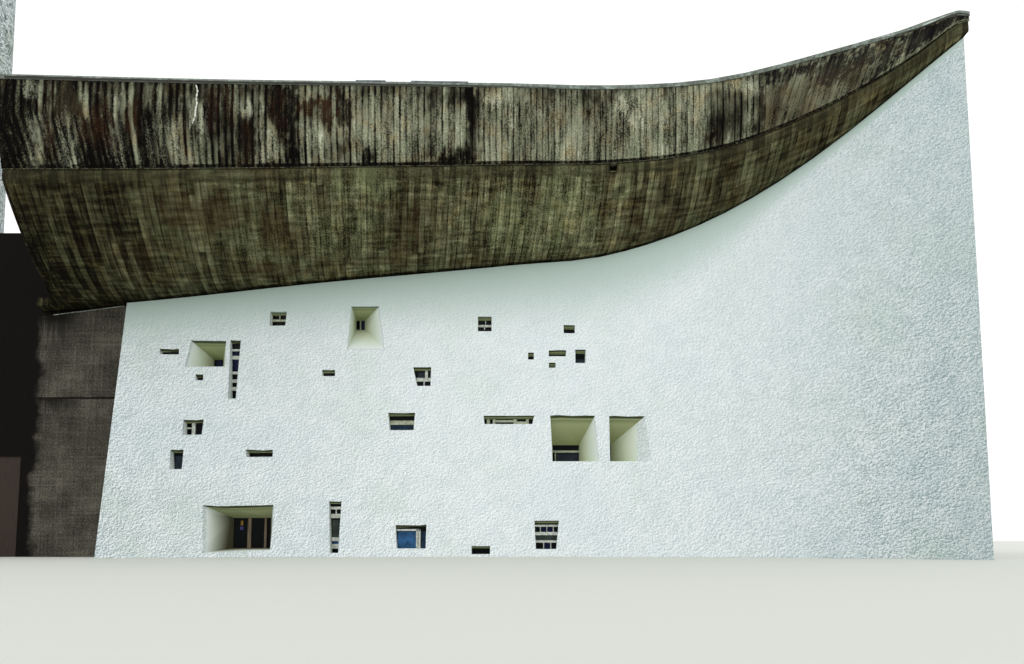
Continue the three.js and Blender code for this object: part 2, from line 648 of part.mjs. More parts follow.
function buildTower() {
  const ring = [
    new THREE.Vector2(TOWER_FOOT_RADIUS, 0), new THREE.Vector2(TOWER_TOP_RADIUS, TOWER_SHOULDER),
    new THREE.Vector2(TOWER_TOP_RADIUS - TOWER_SHELL, TOWER_SHOULDER),
    new THREE.Vector2(TOWER_FOOT_RADIUS - TOWER_SHELL, 0), new THREE.Vector2(TOWER_FOOT_RADIUS, 0),
  ];
  const shell = standOnTower(new THREE.LatheGeometry(ring, TOWER_SIDES));
  const southSide = block(-FAR, FAR, -FAR, TOWER_Y - SEAT / 2, -FAR, FAR);
  const northSide = block(-FAR, FAR, TOWER_Y + SEAT / 2, FAR, -FAR, FAR);
  addPiece('tower_wall_south', shell.intersect(southSide), roughcast);
  addPiece('tower_wall_north', shell.intersect(northSide), roughcast);

  const rise = TOWER_TOP - TOWER_SHOULDER;
  const seat = TOWER_SHOULDER + SEAT;
  const dome = stations(0, Math.PI / 2, Math.PI / 2 / DOME_STEPS).map((turn) => (
    new THREE.Vector2(TOWER_TOP_RADIUS * Math.cos(turn), seat + rise * Math.sin(turn))));
  dome.at(-1).x = 0;
  const cap = new THREE.LatheGeometry([new THREE.Vector2(0, seat), ...dome], TOWER_SIDES);
  addPiece('tower_roof', standOnTower(cap), roughcast);
}

function buildPorch() {
  const back = PORCH_FACE + PORCH_THICKNESS;
  const stock = block(TOWER_X, WALL_WEST - SEAT, PORCH_FACE, back, 0, PORCH_HIGH_TOP);
  const underRoof = block(roofWestX(PORCH_FACE) - CLEARANCE, FAR, -FAR, FAR, -FAR, FAR);
  const slit = aboveSoffit(LIGHT_SLIT).intersect(underRoof);
  const { x, width, depth, foot, head } = PORCH_PIER;
  const middle = PORCH_FACE + PORCH_THICKNESS / 2;
  const pier = block(x - width / 2, x + width / 2, middle - depth / 2, middle + depth / 2, foot, head);
  const doorway = block(DOOR_LEFT, DOOR_RIGHT, -FAR, FAR, -FAR, DOOR_HEAD);
  const wall = stock.subtract(slit).add(pier.subtract(aboveSoffit(SEAT)));
  addPiece('porch_wall', wall.subtract(doorway).subtract(towerSolid(SEAT)), porchConcrete);

  const doorFace = PORCH_FACE + DOOR_SETBACK;
  const leaf = block(
    DOOR_LEFT + SEAT, DOOR_RIGHT - SEAT, doorFace, doorFace + DOOR_THICKNESS, 0, DOOR_HEAD - SEAT);
  addPiece('main_door', leaf, doorPaint);
}

function buildPlainWalls() {
  const seatCut = aboveSoffit(SEAT);
  const northInner = NORTH_FACE - PLAIN_WALL_THICKNESS;
  const westInner = WEST_FACE + WEST_WALL_THICKNESS;
  const eastInner = EAST_FACE - PLAIN_WALL_THICKNESS;

  const westWall = block(WEST_FACE, westInner, TOWER_Y, NORTH_FACE, 0, PARAPET_TOP);
  addPiece('west_wall', westWall.subtract(towerSolid(SEAT)), roughcast);

  const northCuts = NORTH_SLOTS.map(({ left, right, sill, head }) => (
    block(left, right, 0, FAR, sill, head)));
  const northParts = [
    ['north_wall_west', westInner + SEAT, NORTH_WALL_JOINT - SEAT / 2],
    ['north_wall_east', NORTH_WALL_JOINT + SEAT / 2, EAST_FACE],
  ];
  northParts.forEach(([name, from, to]) => {
    let wall = block(from, to, northInner, NORTH_FACE, 0, WALL_STOCK_TOP).subtract(seatCut);
    northCuts.forEach((cut) => {
      wall = wall.subtract(cut);
    });
    addPiece(name, wall, roughcast);
  });
  NORTH_SLOTS.forEach((slot) => (
    addPiece(`north_pane_${slot.number}`, pane(slot, NORTH_FACE - PLAIN_SLOT_DEPTH), glass)));

  const eastPlan = [
    [eastInner, wallInnerY(eastInner) + WALL_SLACK],
    [EAST_FACE, wallInnerY(EAST_FACE) + WALL_SLACK],
    [EAST_FACE, northInner - SEAT],
    [eastInner, northInner - SEAT],
  ];
  let eastWall = prism(eastPlan, 0, WALL_STOCK_TOP).subtract(seatCut);
  EAST_SLOTS.forEach(({ south, north, sill, head }) => {
    eastWall = eastWall.subtract(block(0, FAR, south, north, sill, head));
  });
  addPiece('east_wall', eastWall, roughcast);
  EAST_SLOTS.forEach(({ number, south, north, sill, head }) => {
    const x = EAST_FACE - PLAIN_SLOT_DEPTH;
    const sheetOfGlass = block(x - PANE, x, south + SEAT, north - SEAT, sill + SEAT, head - SEAT);
    addPiece(`east_pane_${number}`, sheetOfGlass, glass);
  });
}

function buildFloor() {
  const westInner = WEST_FACE + WEST_WALL_THICKNESS + SEAT;
  const eastInner = EAST_FACE - PLAIN_WALL_THICKNESS - SEAT;
  const northInner = NORTH_FACE - PLAIN_WALL_THICKNESS - SEAT;
  const porchBack = PORCH_FACE + PORCH_THICKNESS + SEAT;
  const southSide = stations(WALL_WEST, eastInner, WALL_STEP).map((x) => [x, wallInnerY(x) + WALL_SLACK]);
  const outline = [
    [westInner, porchBack], [WALL_WEST - SEAT, porchBack], [WALL_WEST - SEAT, southSide[0][1]],
    ...southSide.slice(1), [eastInner, northInner], [westInner, northInner],
  ];
  addPiece('floor_slab', prism(outline, 0, FLOOR_THICKNESS), floorStone);
}

buildFloor();
buildSouthWall();
buildPorch();
buildPlainWalls();
buildTower();
buildRoof();

export default church;
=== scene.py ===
"""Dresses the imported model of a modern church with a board-marked concrete roof and roughcast walls."""
from contextlib import contextmanager
from functools import partial

import bpy
import numpy as np
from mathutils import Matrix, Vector, noise


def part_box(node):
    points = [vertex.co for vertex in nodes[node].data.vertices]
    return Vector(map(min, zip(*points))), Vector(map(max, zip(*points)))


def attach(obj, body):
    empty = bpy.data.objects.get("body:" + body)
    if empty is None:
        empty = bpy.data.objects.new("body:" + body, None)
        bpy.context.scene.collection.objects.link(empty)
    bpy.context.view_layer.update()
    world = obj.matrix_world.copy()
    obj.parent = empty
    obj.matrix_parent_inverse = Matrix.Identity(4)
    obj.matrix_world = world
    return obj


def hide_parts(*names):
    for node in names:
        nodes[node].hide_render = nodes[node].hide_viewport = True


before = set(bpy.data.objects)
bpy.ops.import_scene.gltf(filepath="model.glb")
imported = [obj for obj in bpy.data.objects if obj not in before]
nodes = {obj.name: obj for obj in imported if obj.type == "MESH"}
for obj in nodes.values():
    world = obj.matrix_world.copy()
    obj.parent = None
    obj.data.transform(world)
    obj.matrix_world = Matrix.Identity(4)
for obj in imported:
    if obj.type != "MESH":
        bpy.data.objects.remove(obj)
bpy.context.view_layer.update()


# South wall. A thick battered wall, trowelled and thrown with white roughcast, so that its face is
# covered with soft dabs about a hand wide. It was left smoother close under the roof, where it has
# painted shade. The plaster in its window recesses is creamy, with painted shade and painted green
# reflected light.
def tint(code):
    """Linear colour of an sRGB hex value."""
    parts = [int(code[i:i + 2], 16) / 255 for i in (1, 3, 5)]
    return [part / 12.92 if part <= 0.04045 else ((part + 0.055) / 1.055) ** 2.4 for part in parts] + [1]


def add_node(tree, kind, inputs=(), out=0, stops=(), points=(), **settings):
    """Adds a node with its settings, links or fills its inputs, and sets its ramp or curve.

    Gives the output asked for, or the node itself where out is None.
    """
    node = tree.nodes.new("ShaderNode" + kind)
    for name, value in settings.items():
        setattr(node, name, value)
    for name, value in inputs.items() if isinstance(inputs, dict) else enumerate(inputs):
        if isinstance(value, bpy.types.NodeSocket):
            tree.links.new(value, node.inputs[name])
        else:
            node.inputs[name].default_value = tint(value) if isinstance(value, str) else value
    if stops:
        ramp = node.color_ramp.elements
        ramp[0].position, ramp[0].color = stops[0][0], tint(stops[0][1])
        ramp[1].position, ramp[1].color = stops[-1][0], tint(stops[-1][1])
        for place, colour in stops[1:-1]:
            ramp.new(place).color = tint(colour)
    if points:
        line = node.mapping.curves[0].points
        line[0].location, line[1].location = points[0], points[-1]
        for point in points[1:-1]:
            line.new(*point)
        node.mapping.update()
    return node if out is None else node.outputs[out]


RGBA = {"out": 2, "data_type": "RGBA"}


def new_material(name, roughness, sheen=0.5, metal=0):
    """A material, the function that adds its nodes, and the place on the building.

    sheen is how far it mirrors the sky.
    """
    material = bpy.data.materials.new(name)
    material.use_nodes = True
    tree = material.node_tree
    tree.nodes.clear()
    add = partial(add_node, tree)
    given = {"Roughness": roughness, "Specular IOR Level": sheen, "Metallic": metal}
    add("OutputMaterial", {"Surface": add("BsdfPrincipled", given)}, None)
    return material, add, add("TexCoord", out="Object")


def surface(material, paint, height=None, strength=0.5, distance=0.01):
    """Gives the shader its colour and, where a height is given, its relief."""
    tree = material.node_tree
    shader = tree.nodes["Principled BSDF"]
    tree.links.new(paint, shader.inputs["Base Color"])
    if height is not None:
        bump = add_node(tree, "Bump", {"Height": height, "Strength": strength, "Distance": distance})
        tree.links.new(bump, shader.inputs["Normal"])


def coat(material, *names):
    """Gives CAD nodes their finish."""
    for name in names:
        nodes[name].data.materials.clear()
        nodes[name].data.materials.append(material)


def weighed(add, start, parts):
    """start, plus each part's weight times its height over one half."""
    total = start - sum(weight for _, weight in parts) / 2
    for socket, weight in parts:
        total = add("Math", (socket, weight, total), operation="MULTIPLY_ADD")
    return total


DABS = {"Detail": 3, "Distortion": 0.7}
DABS_STRETCH = {"Rotation": (0, 0.3, 0), "Scale": (1, 1, 1.2)}
DABS_LIGHT_OFFSET = (-0.01, 0, 0.016)
DAB_PAINTED_LIGHT = 2.6


def roughcast(name, shadow, body, light, patches, dabs_a_metre=15):
    """White roughcast plaster: matt, with dabs of some 70 by 50 mm that carry painted light on their
    upper left sides and painted shade beneath, and large faint patches of damp."""
    material, add, place = new_material(name, 0.92, 0.2)
    drawn = [add("Mapping", {"Vector": place, "Location": shift, **DABS_STRETCH})
             for shift in ((0, 0, 0), DABS_LIGHT_OFFSET)]
    dabs, dabs_towards_light = [add("TexNoise", {"Vector": way, "Scale": dabs_a_metre, **DABS}) for way in drawn]
    # Each dab is painted lighter on its upper left side and darker beneath: painted light and shade.
    painted_dab_light_and_shade = add("Math", (dabs, dabs_towards_light), operation="SUBTRACT")
    grit = add("TexNoise", {"Vector": place, "Scale": 38, "Detail": 2})
    drift = add("TexNoise", {"Vector": place, "Scale": 2.2, "Detail": 3})
    relief = weighed(add, 0.5, [(dabs, 1), (grit, 0.5)])
    tone = weighed(add, 0.5, [(dabs, 0.5), (grit, 0.5), (drift, 0.3)])
    tone = add("Math", (painted_dab_light_and_shade, DAB_PAINTED_LIGHT, tone), operation="MULTIPLY_ADD")
    tone = add("ValToRGB", {"Fac": tone}, stops=[(0.28, shadow), (0.5, body), (0.7, light)])
    damp = add("TexNoise", {"Vector": place, "Scale": 0.42, "Detail": 4, "Roughness": 0.6})
    stops = [(0.35, patches[0]), (0.5, "#ffffff"), (0.66, patches[1])]
    wash = add("ValToRGB", {"Fac": damp}, stops=stops)
    paint = add("Mix", {0: 1, 6: tone, 7: wash}, **RGBA, blend_type="MULTIPLY")
    surface(material, paint, relief, 0.9, 0.03)
    return material, add, place, paint


WALL_WEST, WALL_EAST = -11.6, 12.15
WALL_FOOT = [(-11.6, -7.95), (-6, -7.07), (0, -6.7), (4, -6.9), (8, -7.8), (12.15, -9.7)]
WALL_TOP = [(-11.6, -6.93), (-6, -6.15), (0, -5.9), (4, -6.3), (8, -7.35), (12.15, -9.64)]
WALL_HEAD = [
    (-14, 7.4), (-11.6, 7.62), (-6, 8.54), (0, 9.21), (3, 9.43), (6, 10.26), (9, 11.77), (12.15, 13.98)]
FACE_SOUTH, FACE_SPAN = -10, 5

south_roughcast, add, place, paint = roughcast(
    "white roughcast of the window wall", "#8b9b9e", "#d1dadc", "#fcfdfd", ("#f0f4ee", "#f3f5f8"))
spot = add("SeparateXYZ", (place,), None).outputs
run = add("MapRange", (spot[0], WALL_WEST, WALL_EAST))


def wall_curve(knots, scale, start=0):
    """A value along the wall, through knots of (x, value). The curve node runs from 0 to 1 both ways,
    so the values are scaled to fit it and back."""
    width = WALL_EAST - WALL_WEST
    points = [((x - WALL_WEST) / width, (value - start) / scale) for x, value in knots if x >= WALL_WEST]
    curve = add("FloatCurve", {"Value": run}, points=points)
    return add("Math", (curve, scale, start), operation="MULTIPLY_ADD")


head = wall_curve(WALL_HEAD, 16)
rise = add("Math", (spot[2], head), operation="DIVIDE")
foot_line, top_line = [wall_curve(line, FACE_SPAN, FACE_SOUTH) for line in (WALL_FOOT, WALL_TOP)]
face_y = add("Mix", {0: rise, 2: foot_line, 3: top_line})
depth = add("Math", (spot[1], face_y), operation="SUBTRACT")

# The dabs are boldest at both ends and low down, and faint in the middle of the wall. It is greyer
# at both ends, most of all towards the prow.
BOLDNESS = [(-11.6, 0.85), (-8.5, 0.62), (-5.5, 0.56), (-2, 0.45), (3, 0.43), (6.5, 0.53), (8.2, 0.6),
            (10, 0.92), (12.15, 1.25)]
GREYNESS = [(-11.6, 0.2), (-6, 0.1), (-3, 0.02), (3, 0.04), (6.5, 0.12), (9, 0.28), (12.15, 0.5)]
low_down = add("MapRange", (spot[2], 1, 9, 1.1, 0.62))
bold = add("Math", (wall_curve(BOLDNESS, 1.5), low_down), operation="MULTIPLY")
paint = add("Mix", {0: bold, 6: "#d7dfe1", 7: paint}, **RGBA)
paint = add("Mix", {0: wall_curve(GREYNESS, 1), 6: paint, 7: "#8a9fa1"}, **RGBA)

# Inside a recess the plaster is trowelled and creamy, with painted shade and painted green reflected
# light that grow the deeper it lies. Low down and deep in a recess it has more painted shade. Under a
# lintel it has painted shade, a dark painted shadow along its front edge and painted olive reflected
# light.
WINDOWS_MIDDLE, WINDOWS_HALF = -3.7, 7.5
CHEEK_COLOURS_AND_SHADE = [(0.05, "#dde5e1"), (0.3, "#d0dacc"), (0.6, "#c0c8b0"), (1, "#999f7a")]
LINTEL_SHADE_COLOURS = [(0, "#3a4126"), (0.06, "#454c2e"), (0.09, "#a0a684"), (0.14, "#848c62"),
                  (0.25, "#a0a67e"), (0.9, "#8d9368")]
LOW_SHADE_TOP, LOW_SHADE_SHARE = 1.2, 0.95
near_windows = add("Math", (spot[0], WINDOWS_MIDDLE, WINDOWS_HALF), operation="COMPARE")
inside = add("MapRange", (depth, 0.02, 0.07))
inside = add("Math", (inside, near_windows), operation="MULTIPLY")
deep = add("ValToRGB", {"Fac": depth}, stops=CHEEK_COLOURS_AND_SHADE)
# Painted shade, deep in the recesses low down.
near_ground = add("MapRange", (spot[2], LOW_SHADE_TOP, LOW_SHADE_TOP + 0.3, 1, 0))
painted_low_shade = add("MapRange", (depth, 0.05, 0.7, 0, LOW_SHADE_SHARE))
painted_low_shade = add("Math", (painted_low_shade, near_ground), operation="MULTIPLY")
deep = add("Mix", {0: painted_low_shade, 6: deep, 7: "#3b3823"}, **RGBA)
cheek = add("Mix", {0: inside, 6: paint, 7: deep}, **RGBA)
facing = add("SeparateXYZ", (add("NewGeometry", out="True Normal"),), 2)
# Faces under a lintel get painted shade and painted olive reflected light.
overhead = add("MapRange", (facing, -0.35, -0.6))
painted_lintel_shade = add("ValToRGB", {"Fac": depth}, stops=LINTEL_SHADE_COLOURS)
lined = add("Mix", {0: overhead, 6: cheek, 7: painted_lintel_shade}, **RGBA)

# Close under the roof the face is smooth and has painted shade, for as many metres down as the list says.
ROOF_SHADE_REACH = [(-11.6, 1.7), (-4, 2.2), (2, 2.6), (6, 1.9), (9, 0.5), (12.15, 0.12)]
under = add("Math", (head, spot[2]), operation="SUBTRACT")
reach = wall_curve(ROOF_SHADE_REACH, 3)
painted_roof_shade = add("MapRange", (under, 0.1, reach, 1, 0), interpolation_type="SMOOTHSTEP")
open_face = add("Math", (0.95, inside), operation="SUBTRACT", use_clamp=True)
shade = add("Math", (painted_roof_shade, open_face), operation="MULTIPLY")
surface(south_roughcast, add("Mix", {0: shade, 6: lined, 7: "#a8bab3"}, **RGBA))
calm = add("Math", (painted_roof_shade, inside), operation="MAXIMUM")
strength = add("MapRange", {0: calm, 3: 0.9, 4: 0.2})
strength = add("Math", (strength, bold), operation="MULTIPLY")
tree = south_roughcast.node_tree
tree.links.new(strength, tree.nodes["Bump"].inputs["Strength"])
coat(south_roughcast, *[name for name in nodes if name.startswith("south_wall_")])


# Other walls of the nave. Masonry under the same white roughcast, thrown more plainly and a little
# more weathered, so that they look flatter and greyer than the window wall.
plain_roughcast = roughcast(
    "weathered white roughcast", "#909f9f", "#cbd5d4", "#f0f4f3", ("#e9eee7", "#eceef0"))[0]
coat(plain_roughcast, "west_wall", "north_wall_west", "north_wall_east", "east_wall")


# Window glass. Small sheets set deep in the wall, with the dark nave behind them, so they read as
# near black, and as navy, slate or blue where the glass is coloured.
def glass(name, colour, roughness):
    """Dark window glass: smooth, with a faint waviness."""
    material, add, place = new_material(name, roughness, 0.04)
    cloud = add("TexNoise", {"Vector": place, "Scale": 5, "Detail": 2})
    wave = add("TexNoise", {"Vector": place, "Scale": 3})
    body = add("Mix", {0: cloud, 6: "#07090a", 7: colour}, **RGBA)
    surface(material, body, wave, 0.1, 0.01)
    return material


coat(glass("dark window glass", "#101214", 0.12), *[name for name in nodes if "_pane_" in name])


# Bars between the lights. Cast strips of plaster that stand in front of the glass of the larger
# windows, pale, or olive and darker with painted shade in the deeper recesses. Widths and heights are
# in metres, as (west, east, foot, head).
BAR_DEPTH, BAR_GAP, BAR_BEVEL = 0.06, 0.001, 0.004
BARS = {
    "03": [(-8.55, -8.26, 6.235, 6.298), (-8.54, -8.262, 5.98, 6.092), (-8.522, -8.265, 5.521, 5.602),
           (-8.512, -8.267, 5.267, 5.363), (-8.502, -8.268, 5.017, 5.128)],
    "05": [(-7.46, -6.98, 7.27, 7.335), (-7.235, -7.215, 7.335, 7.48)],
    "06": [(-4.92, -4.885, 7.28, 7.58)],
    "08": [(-2.98, -2.505, 5.41, 5.523), (-2.704, -2.618, 5.523, 5.755), (-2.751, -2.714, 5.225, 5.41)],
    "09": [(-9.497, -9.4, 3.585, 3.96), (-9.66, -9.497, 3.785, 3.825)],
    "13": [(-5.395, -5.056, 1.406, 1.485), (-5.38, -5.06, 1.148, 1.272), (-5.34, -5.073, 0.465, 0.575),
           (-5.328, -5.077, 0.243, 0.38), (-5.235, -5.208, 1.272, 1.406)],
    "14": [(-2.85, -2.792, 0.255, 0.82), (-2.778, -2.72, 0.255, 0.82), (-3.44, -2.72, 0.768, 0.822)],
    "15": [(-3.74, -2.98, 4.02, 4.15)],
    "16": [(-0.776, -0.68, 4.035, 4.215), (-0.595, -0.517, 4.035, 4.215), (0.046, 0.151, 4.035, 4.215),
           (0.432, 0.517, 4.035, 4.215), (-0.517, 0.046, 4.117, 4.182), (0.151, 0.432, 4.035, 4.14)],
    "17": [(1.28, 2.12, 3.25, 3.315), (1.35, 1.385, 2.98, 3.25)],
    "19": [(-1.065, -0.645, 7.2, 7.268), (-0.842, -0.822, 7.268, 7.415), (-0.885, -0.85, 7.12, 7.2)],
    "26": [(0.678, 1.385, 0.894, 0.955), (0.69, 1.36, 0.642, 0.738), (0.702, 1.337, 0.418, 0.488),
           (0.84, 0.86, 0.738, 0.894), (1.035, 1.055, 0.738, 0.894), (1.228, 1.248, 0.738, 0.894),
           (0.935, 0.96, 0.235, 0.418), (1.148, 1.173, 0.235, 0.418)],
}
# The bars of these windows are painted olive and darker: painted shade.
BARS_IN_SHADE = ("05", "06", "15", "16", "17")


def blotched(name, roughness, sheen, texture, stops, relief=None, stretch=(1, 1, 1), metal=0):
    """A material whose colour follows one noise, and its relief too where (strength, metres) is given."""
    material, add, place = new_material(name, roughness, sheen, metal)
    drawn = add("Mapping", {"Vector": place, "Scale": stretch})
    blots = add("TexNoise", {"Vector": drawn, **texture})
    paint = add("ValToRGB", {"Fac": blots}, stops=stops)
    if relief:
        surface(material, paint, blots, *relief)
    else:
        surface(material, paint)
    return material, add, blots, paint


@contextmanager
def edit_mode():
    """Edit mode on the active piece, for the steps inside."""
    bpy.ops.object.mode_set(mode="EDIT")
    yield
    bpy.ops.object.mode_set(mode="OBJECT")


def apply_modifier(piece, kind, **settings):
    """Finishes a piece with one modifier."""
    bpy.context.view_layer.objects.active = piece
    bpy.ops.object.modifier_add(type=kind)
    for name, value in settings.items():
        setattr(piece.modifiers[-1], name, value)
    bpy.ops.object.modifier_apply(modifier=piece.modifiers[-1].name)


def join_boxes(name, boxes, bevel):
    """One piece made of bevelled boxes, each given by its lowest and highest corner."""
    made = []
    for low, high in boxes:
        low, high = Vector(low), Vector(high)
        bpy.ops.mesh.primitive_cube_add(size=1, location=(low + high) / 2)
        bpy.context.object.scale = high - low
        made.append(bpy.context.object)
    bpy.ops.object.select_all(action="DESELECT")
    for part in made:
        part.select_set(True)
    bpy.context.view_layer.objects.active = made[0]
    bpy.ops.object.transform_apply(location=True, rotation=True, scale=True)
    if len(made) > 1:
        bpy.ops.object.join()
    piece = bpy.context.object
    apply_modifier(piece, "BEVEL", width=bevel, segments=2)
    piece.name = piece.data.name = name
    return piece


def hand_over(piece, material):
    """Gives a piece its one finish and sets it on the building."""
    piece.data.materials.clear()
    piece.data.materials.append(material)
    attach(piece, "root")


def stand_in_front(kind, number, strips, material):
    """Upright or level strips in front of a window's glass, as one piece."""
    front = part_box(f"south_pane_{number}")[0].y
    boxes = [
        ((west, front - BAR_DEPTH, foot), (east, front - BAR_GAP, top)) for west, east, foot, top in strips]
    hand_over(join_boxes(f"window_{kind}_{number}", boxes, BAR_BEVEL), material)


pale_bars, shade_darkened_bars = [
    blotched(f"{kind} plaster of window bars", 0.8, 0.2, {"Scale": 14, "Detail": 4}, stops, (0.4, 0.004))[0]
    for kind, stops in (("pale", [(0.3, "#8b8f85"), (0.65, "#c3c8c0")]),
                        ("shade-darkened", [(0.3, "#7b806a"), (0.65, "#adb29c")]))]
for number, bars in BARS.items():
    stand_in_front("bars", number, bars, shade_darkened_bars if number in BARS_IN_SHADE else pale_bars)

# The large window low down at the west end has two posts of weathered wood instead, set upright in
# front of its glass. Their grain shows as fine upright streaks of brown.
WOODEN_POSTS = [(-7.93, -7.82, 0.26, 1.16), (-7.43, -7.36, 0.26, 1.16)]
grey_wood = blotched("weathered brown wood", 0.75, 0.5, {"Scale": 1, "Detail": 4},
                     [(0.3, "#3a3024"), (0.7, "#75664e")], stretch=(40, 40, 2))[0]
stand_in_front("posts", "12", WOODEN_POSTS, grey_wood)

# Coloured lights. Thin sheets of coloured glass held between the bars, a few millimetres in front
# of the clear glass.
LIGHTS = {
    "navy": ("#1b2044", [("02", -9.3, -9.09, 5.94, 6.13), ("03", -8.54, -8.265, 6.092, 6.235),
                         ("03", -8.525, -8.265, 5.65, 5.97), ("06", -4.885, -4.77, 7.28, 7.58),
                         ("26", 0.86, 1.035, 0.738, 0.894), ("26", 1.055, 1.228, 0.738, 0.894),
                         ("26", 0.96, 1.148, 0.235, 0.418)]),
    "slate": ("#343e48", [("08", -2.92, -2.704, 5.523, 5.7), ("10", -9.9, -9.59, 2.56, 2.95),
                          ("17", 1.385, 2.12, 2.98, 3.237), ("24", 1.97, 2.265, 5.955, 6.12)]),
    "sea blue": ("#2c4258", [("15", -3.72, -2.99, 3.835, 4.02), ("14", -2.705, -2.57, 0.262, 0.75)]),
    "blue": ("#3d6c9c", [("14", -3.4, -2.85, 0.262, 0.757), ("13", -5.325, -5.08, 0.38, 0.465)]),
    "grey green": ("#49534d", [("13", -5.34, -5.065, 0.575, 1.1), ("26", 0.7, 1.345, 0.49, 0.64)]),
    "amber": ("#b08a3a", [("12", -8.16, -8.09, 0.94, 1.08)]),
    "violet": ("#5a58a0", [("12", -8.18, -8.08, 0.8, 0.9)]),
}
SHEET_GAP, SHEET_THICKNESS, SHEET_BEVEL = 0.004, 0.006, 0.001
for colour, (code, sheets) in LIGHTS.items():
    boxes = []
    for number, west, east, foot, top in sheets:
        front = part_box(f"south_pane_{number}")[0].y - SHEET_GAP
        boxes.append(((west, front - SHEET_THICKNESS, foot), (east, front, top)))
    sheet = join_boxes(colour.replace(" ", "_") + "_lights", boxes, SHEET_BEVEL)
    hand_over(sheet, glass(f"{colour} window glass", code, 0.2))


# Porch wall. Dark concrete cast in place under the west end of the roof, with fine board marks both
# ways, a pour joint about 4.8 m up, damp under that joint and under the ledge, and painted deep shade
# towards the door and above the ledge.
POUR_JOINT, JOINT_WIDTH, DAMP_REACH = 4.764, 0.03, 0.9
LEDGE_WEST, LEDGE_EAST = (-13.94, 7.32), (-11.79, 7.6)
LEDGE_SLOPE = (LEDGE_EAST[1] - LEDGE_WEST[1]) / (LEDGE_EAST[0] - LEDGE_WEST[0])
LEDGE_LINE = LEDGE_WEST[1] - LEDGE_SLOPE * LEDGE_WEST[0]
DOOR_SHADE = (-13.65, -14)
DAMP_SIDE = (-12.9, -13.6)
porch_concrete, add, place = new_material("dark concrete cast in place", 0.88, 0.1)
spot = add("SeparateXYZ", (place,), None).outputs
cloud = add("TexNoise", {"Vector": place, "Scale": 1.3, "Detail": 6, "Roughness": 0.6})
speck = add("TexNoise", {"Vector": place, "Scale": 20, "Detail": 4})
drawn = [add("Mapping", {"Vector": place, "Scale": stretch}) for stretch in ((20, 1, 0.6), (0.7, 1, 24))]
upright_marks, level_marks = [add("TexNoise", {"Vector": way, "Scale": 1, "Detail": 3}) for way in drawn]
tone = weighed(add, 0.5, [(cloud, 1.3), (upright_marks, 0.6), (level_marks, 0.6), (speck, 1.5)])
paint = add("ValToRGB", {"Fac": tone}, stops=[(0.1, "#2b2823"), (0.5, "#423f38"), (0.9, "#5d594f")])
height = add("Math", (cloud, 0.06, spot[2]), operation="MULTIPLY_ADD")
joint = add("Math", (height, POUR_JOINT + JOINT_WIDTH, JOINT_WIDTH), operation="COMPARE")
near_joint = add("MapRange", (height, POUR_JOINT - DAMP_REACH, POUR_JOINT))
under_joint = add("Math", (height, POUR_JOINT + JOINT_WIDTH), operation="LESS_THAN")
ragged_x = add("Math", (cloud, 0.9, spot[0]), operation="MULTIPLY_ADD")
# Painted deep shade, towards the door and above the ledge, darkens the wall almost to black.
painted_door_shade = add("MapRange", (ragged_x, *DOOR_SHADE), interpolation_type="SMOOTHSTEP")
from_ledge = add("Math", (spot[0], -LEDGE_SLOPE, spot[2]), operation="MULTIPLY_ADD")
under_ledge = add("MapRange", (from_ledge, LEDGE_LINE - 1.7, LEDGE_LINE - 0.1))
damp = add("Math", (near_joint, under_joint), operation="MULTIPLY")
damp = add("Math", (damp, under_ledge), operation="MAXIMUM")
damp_marks = add("Math", (damp, 0.45, upright_marks), operation="MULTIPLY_ADD")
patchy = add("MapRange", (damp_marks, 0.72, 0.84))
west_side = add("MapRange", (spot[0], *DAMP_SIDE))
for mask in (patchy, west_side):
    damp = add("Math", (damp, mask), operation="MULTIPLY")
painted_shade_above_ledge = add("MapRange", (from_ledge, LEDGE_LINE, LEDGE_LINE + 0.02))
dark = add("Math", (painted_door_shade, painted_shade_above_ledge), operation="MAXIMUM")
dark = add("Math", (dark, 1.15), operation="MULTIPLY")
for mask in (damp, joint):
    dark = add("Math", (dark, mask), operation="MAXIMUM")
shade = add("Math", (dark, 0.92), operation="MULTIPLY", use_clamp=True)
stained_and_shaded_paint = add("Mix", {0: shade, 6: paint, 7: "#0c0907"}, **RGBA)
surface(porch_concrete, stained_and_shaded_paint, tone, 0.35, 0.01)
coat(porch_concrete, "porch_wall")

# Porch ledge. A strip of grey render, trowelled on, that closes the top of the porch wall just under
# the roof. It reads as a thin pale line in the shade.
LEDGE_HEIGHT, LEDGE_PROUD, LEDGE_GAP = 0.022, 0.03, 0.001
ledge_render = roughcast(
    "grey render of the porch ledge", "#5c625d", "#858b85", "#a3a9a2", ("#ffffff", "#ffffff"))[0]
porch_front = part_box("porch_wall")[0].y
middle = Vector((
    (LEDGE_WEST[0] + LEDGE_EAST[0]) / 2, porch_front - LEDGE_PROUD / 2, (LEDGE_WEST[1] + LEDGE_EAST[1]) / 2))
half = Vector(((LEDGE_EAST[0] - LEDGE_WEST[0]) / 2, LEDGE_PROUD / 2 - LEDGE_GAP, LEDGE_HEIGHT / 2))
ledge = join_boxes("porch_ledge", [(middle - half, middle + half)], BAR_BEVEL)
with edit_mode():
    bpy.ops.mesh.select_all(action="SELECT")
    bpy.ops.transform.rotate(value=np.arctan(LEDGE_SLOPE), orient_axis="Y", center_override=middle)
hand_over(ledge, ledge_render)

# Main door. One closed steel leaf in the porch wall, under dull brown paint with faint upright brush
# marks. It lies in deep shade beside the tower, and its near-black colour is painted shade.
door_paint_and_shade = blotched("dull brown door paint darkened with painted shade", 0.5, 0.2, {"Scale": 6, "Detail": 3},
                      [(0.3, "#211812"), (0.7, "#35271e")], (0.2, 0.002), (12, 1, 0.6))[0]
coat(door_paint_and_shade, "main_door")

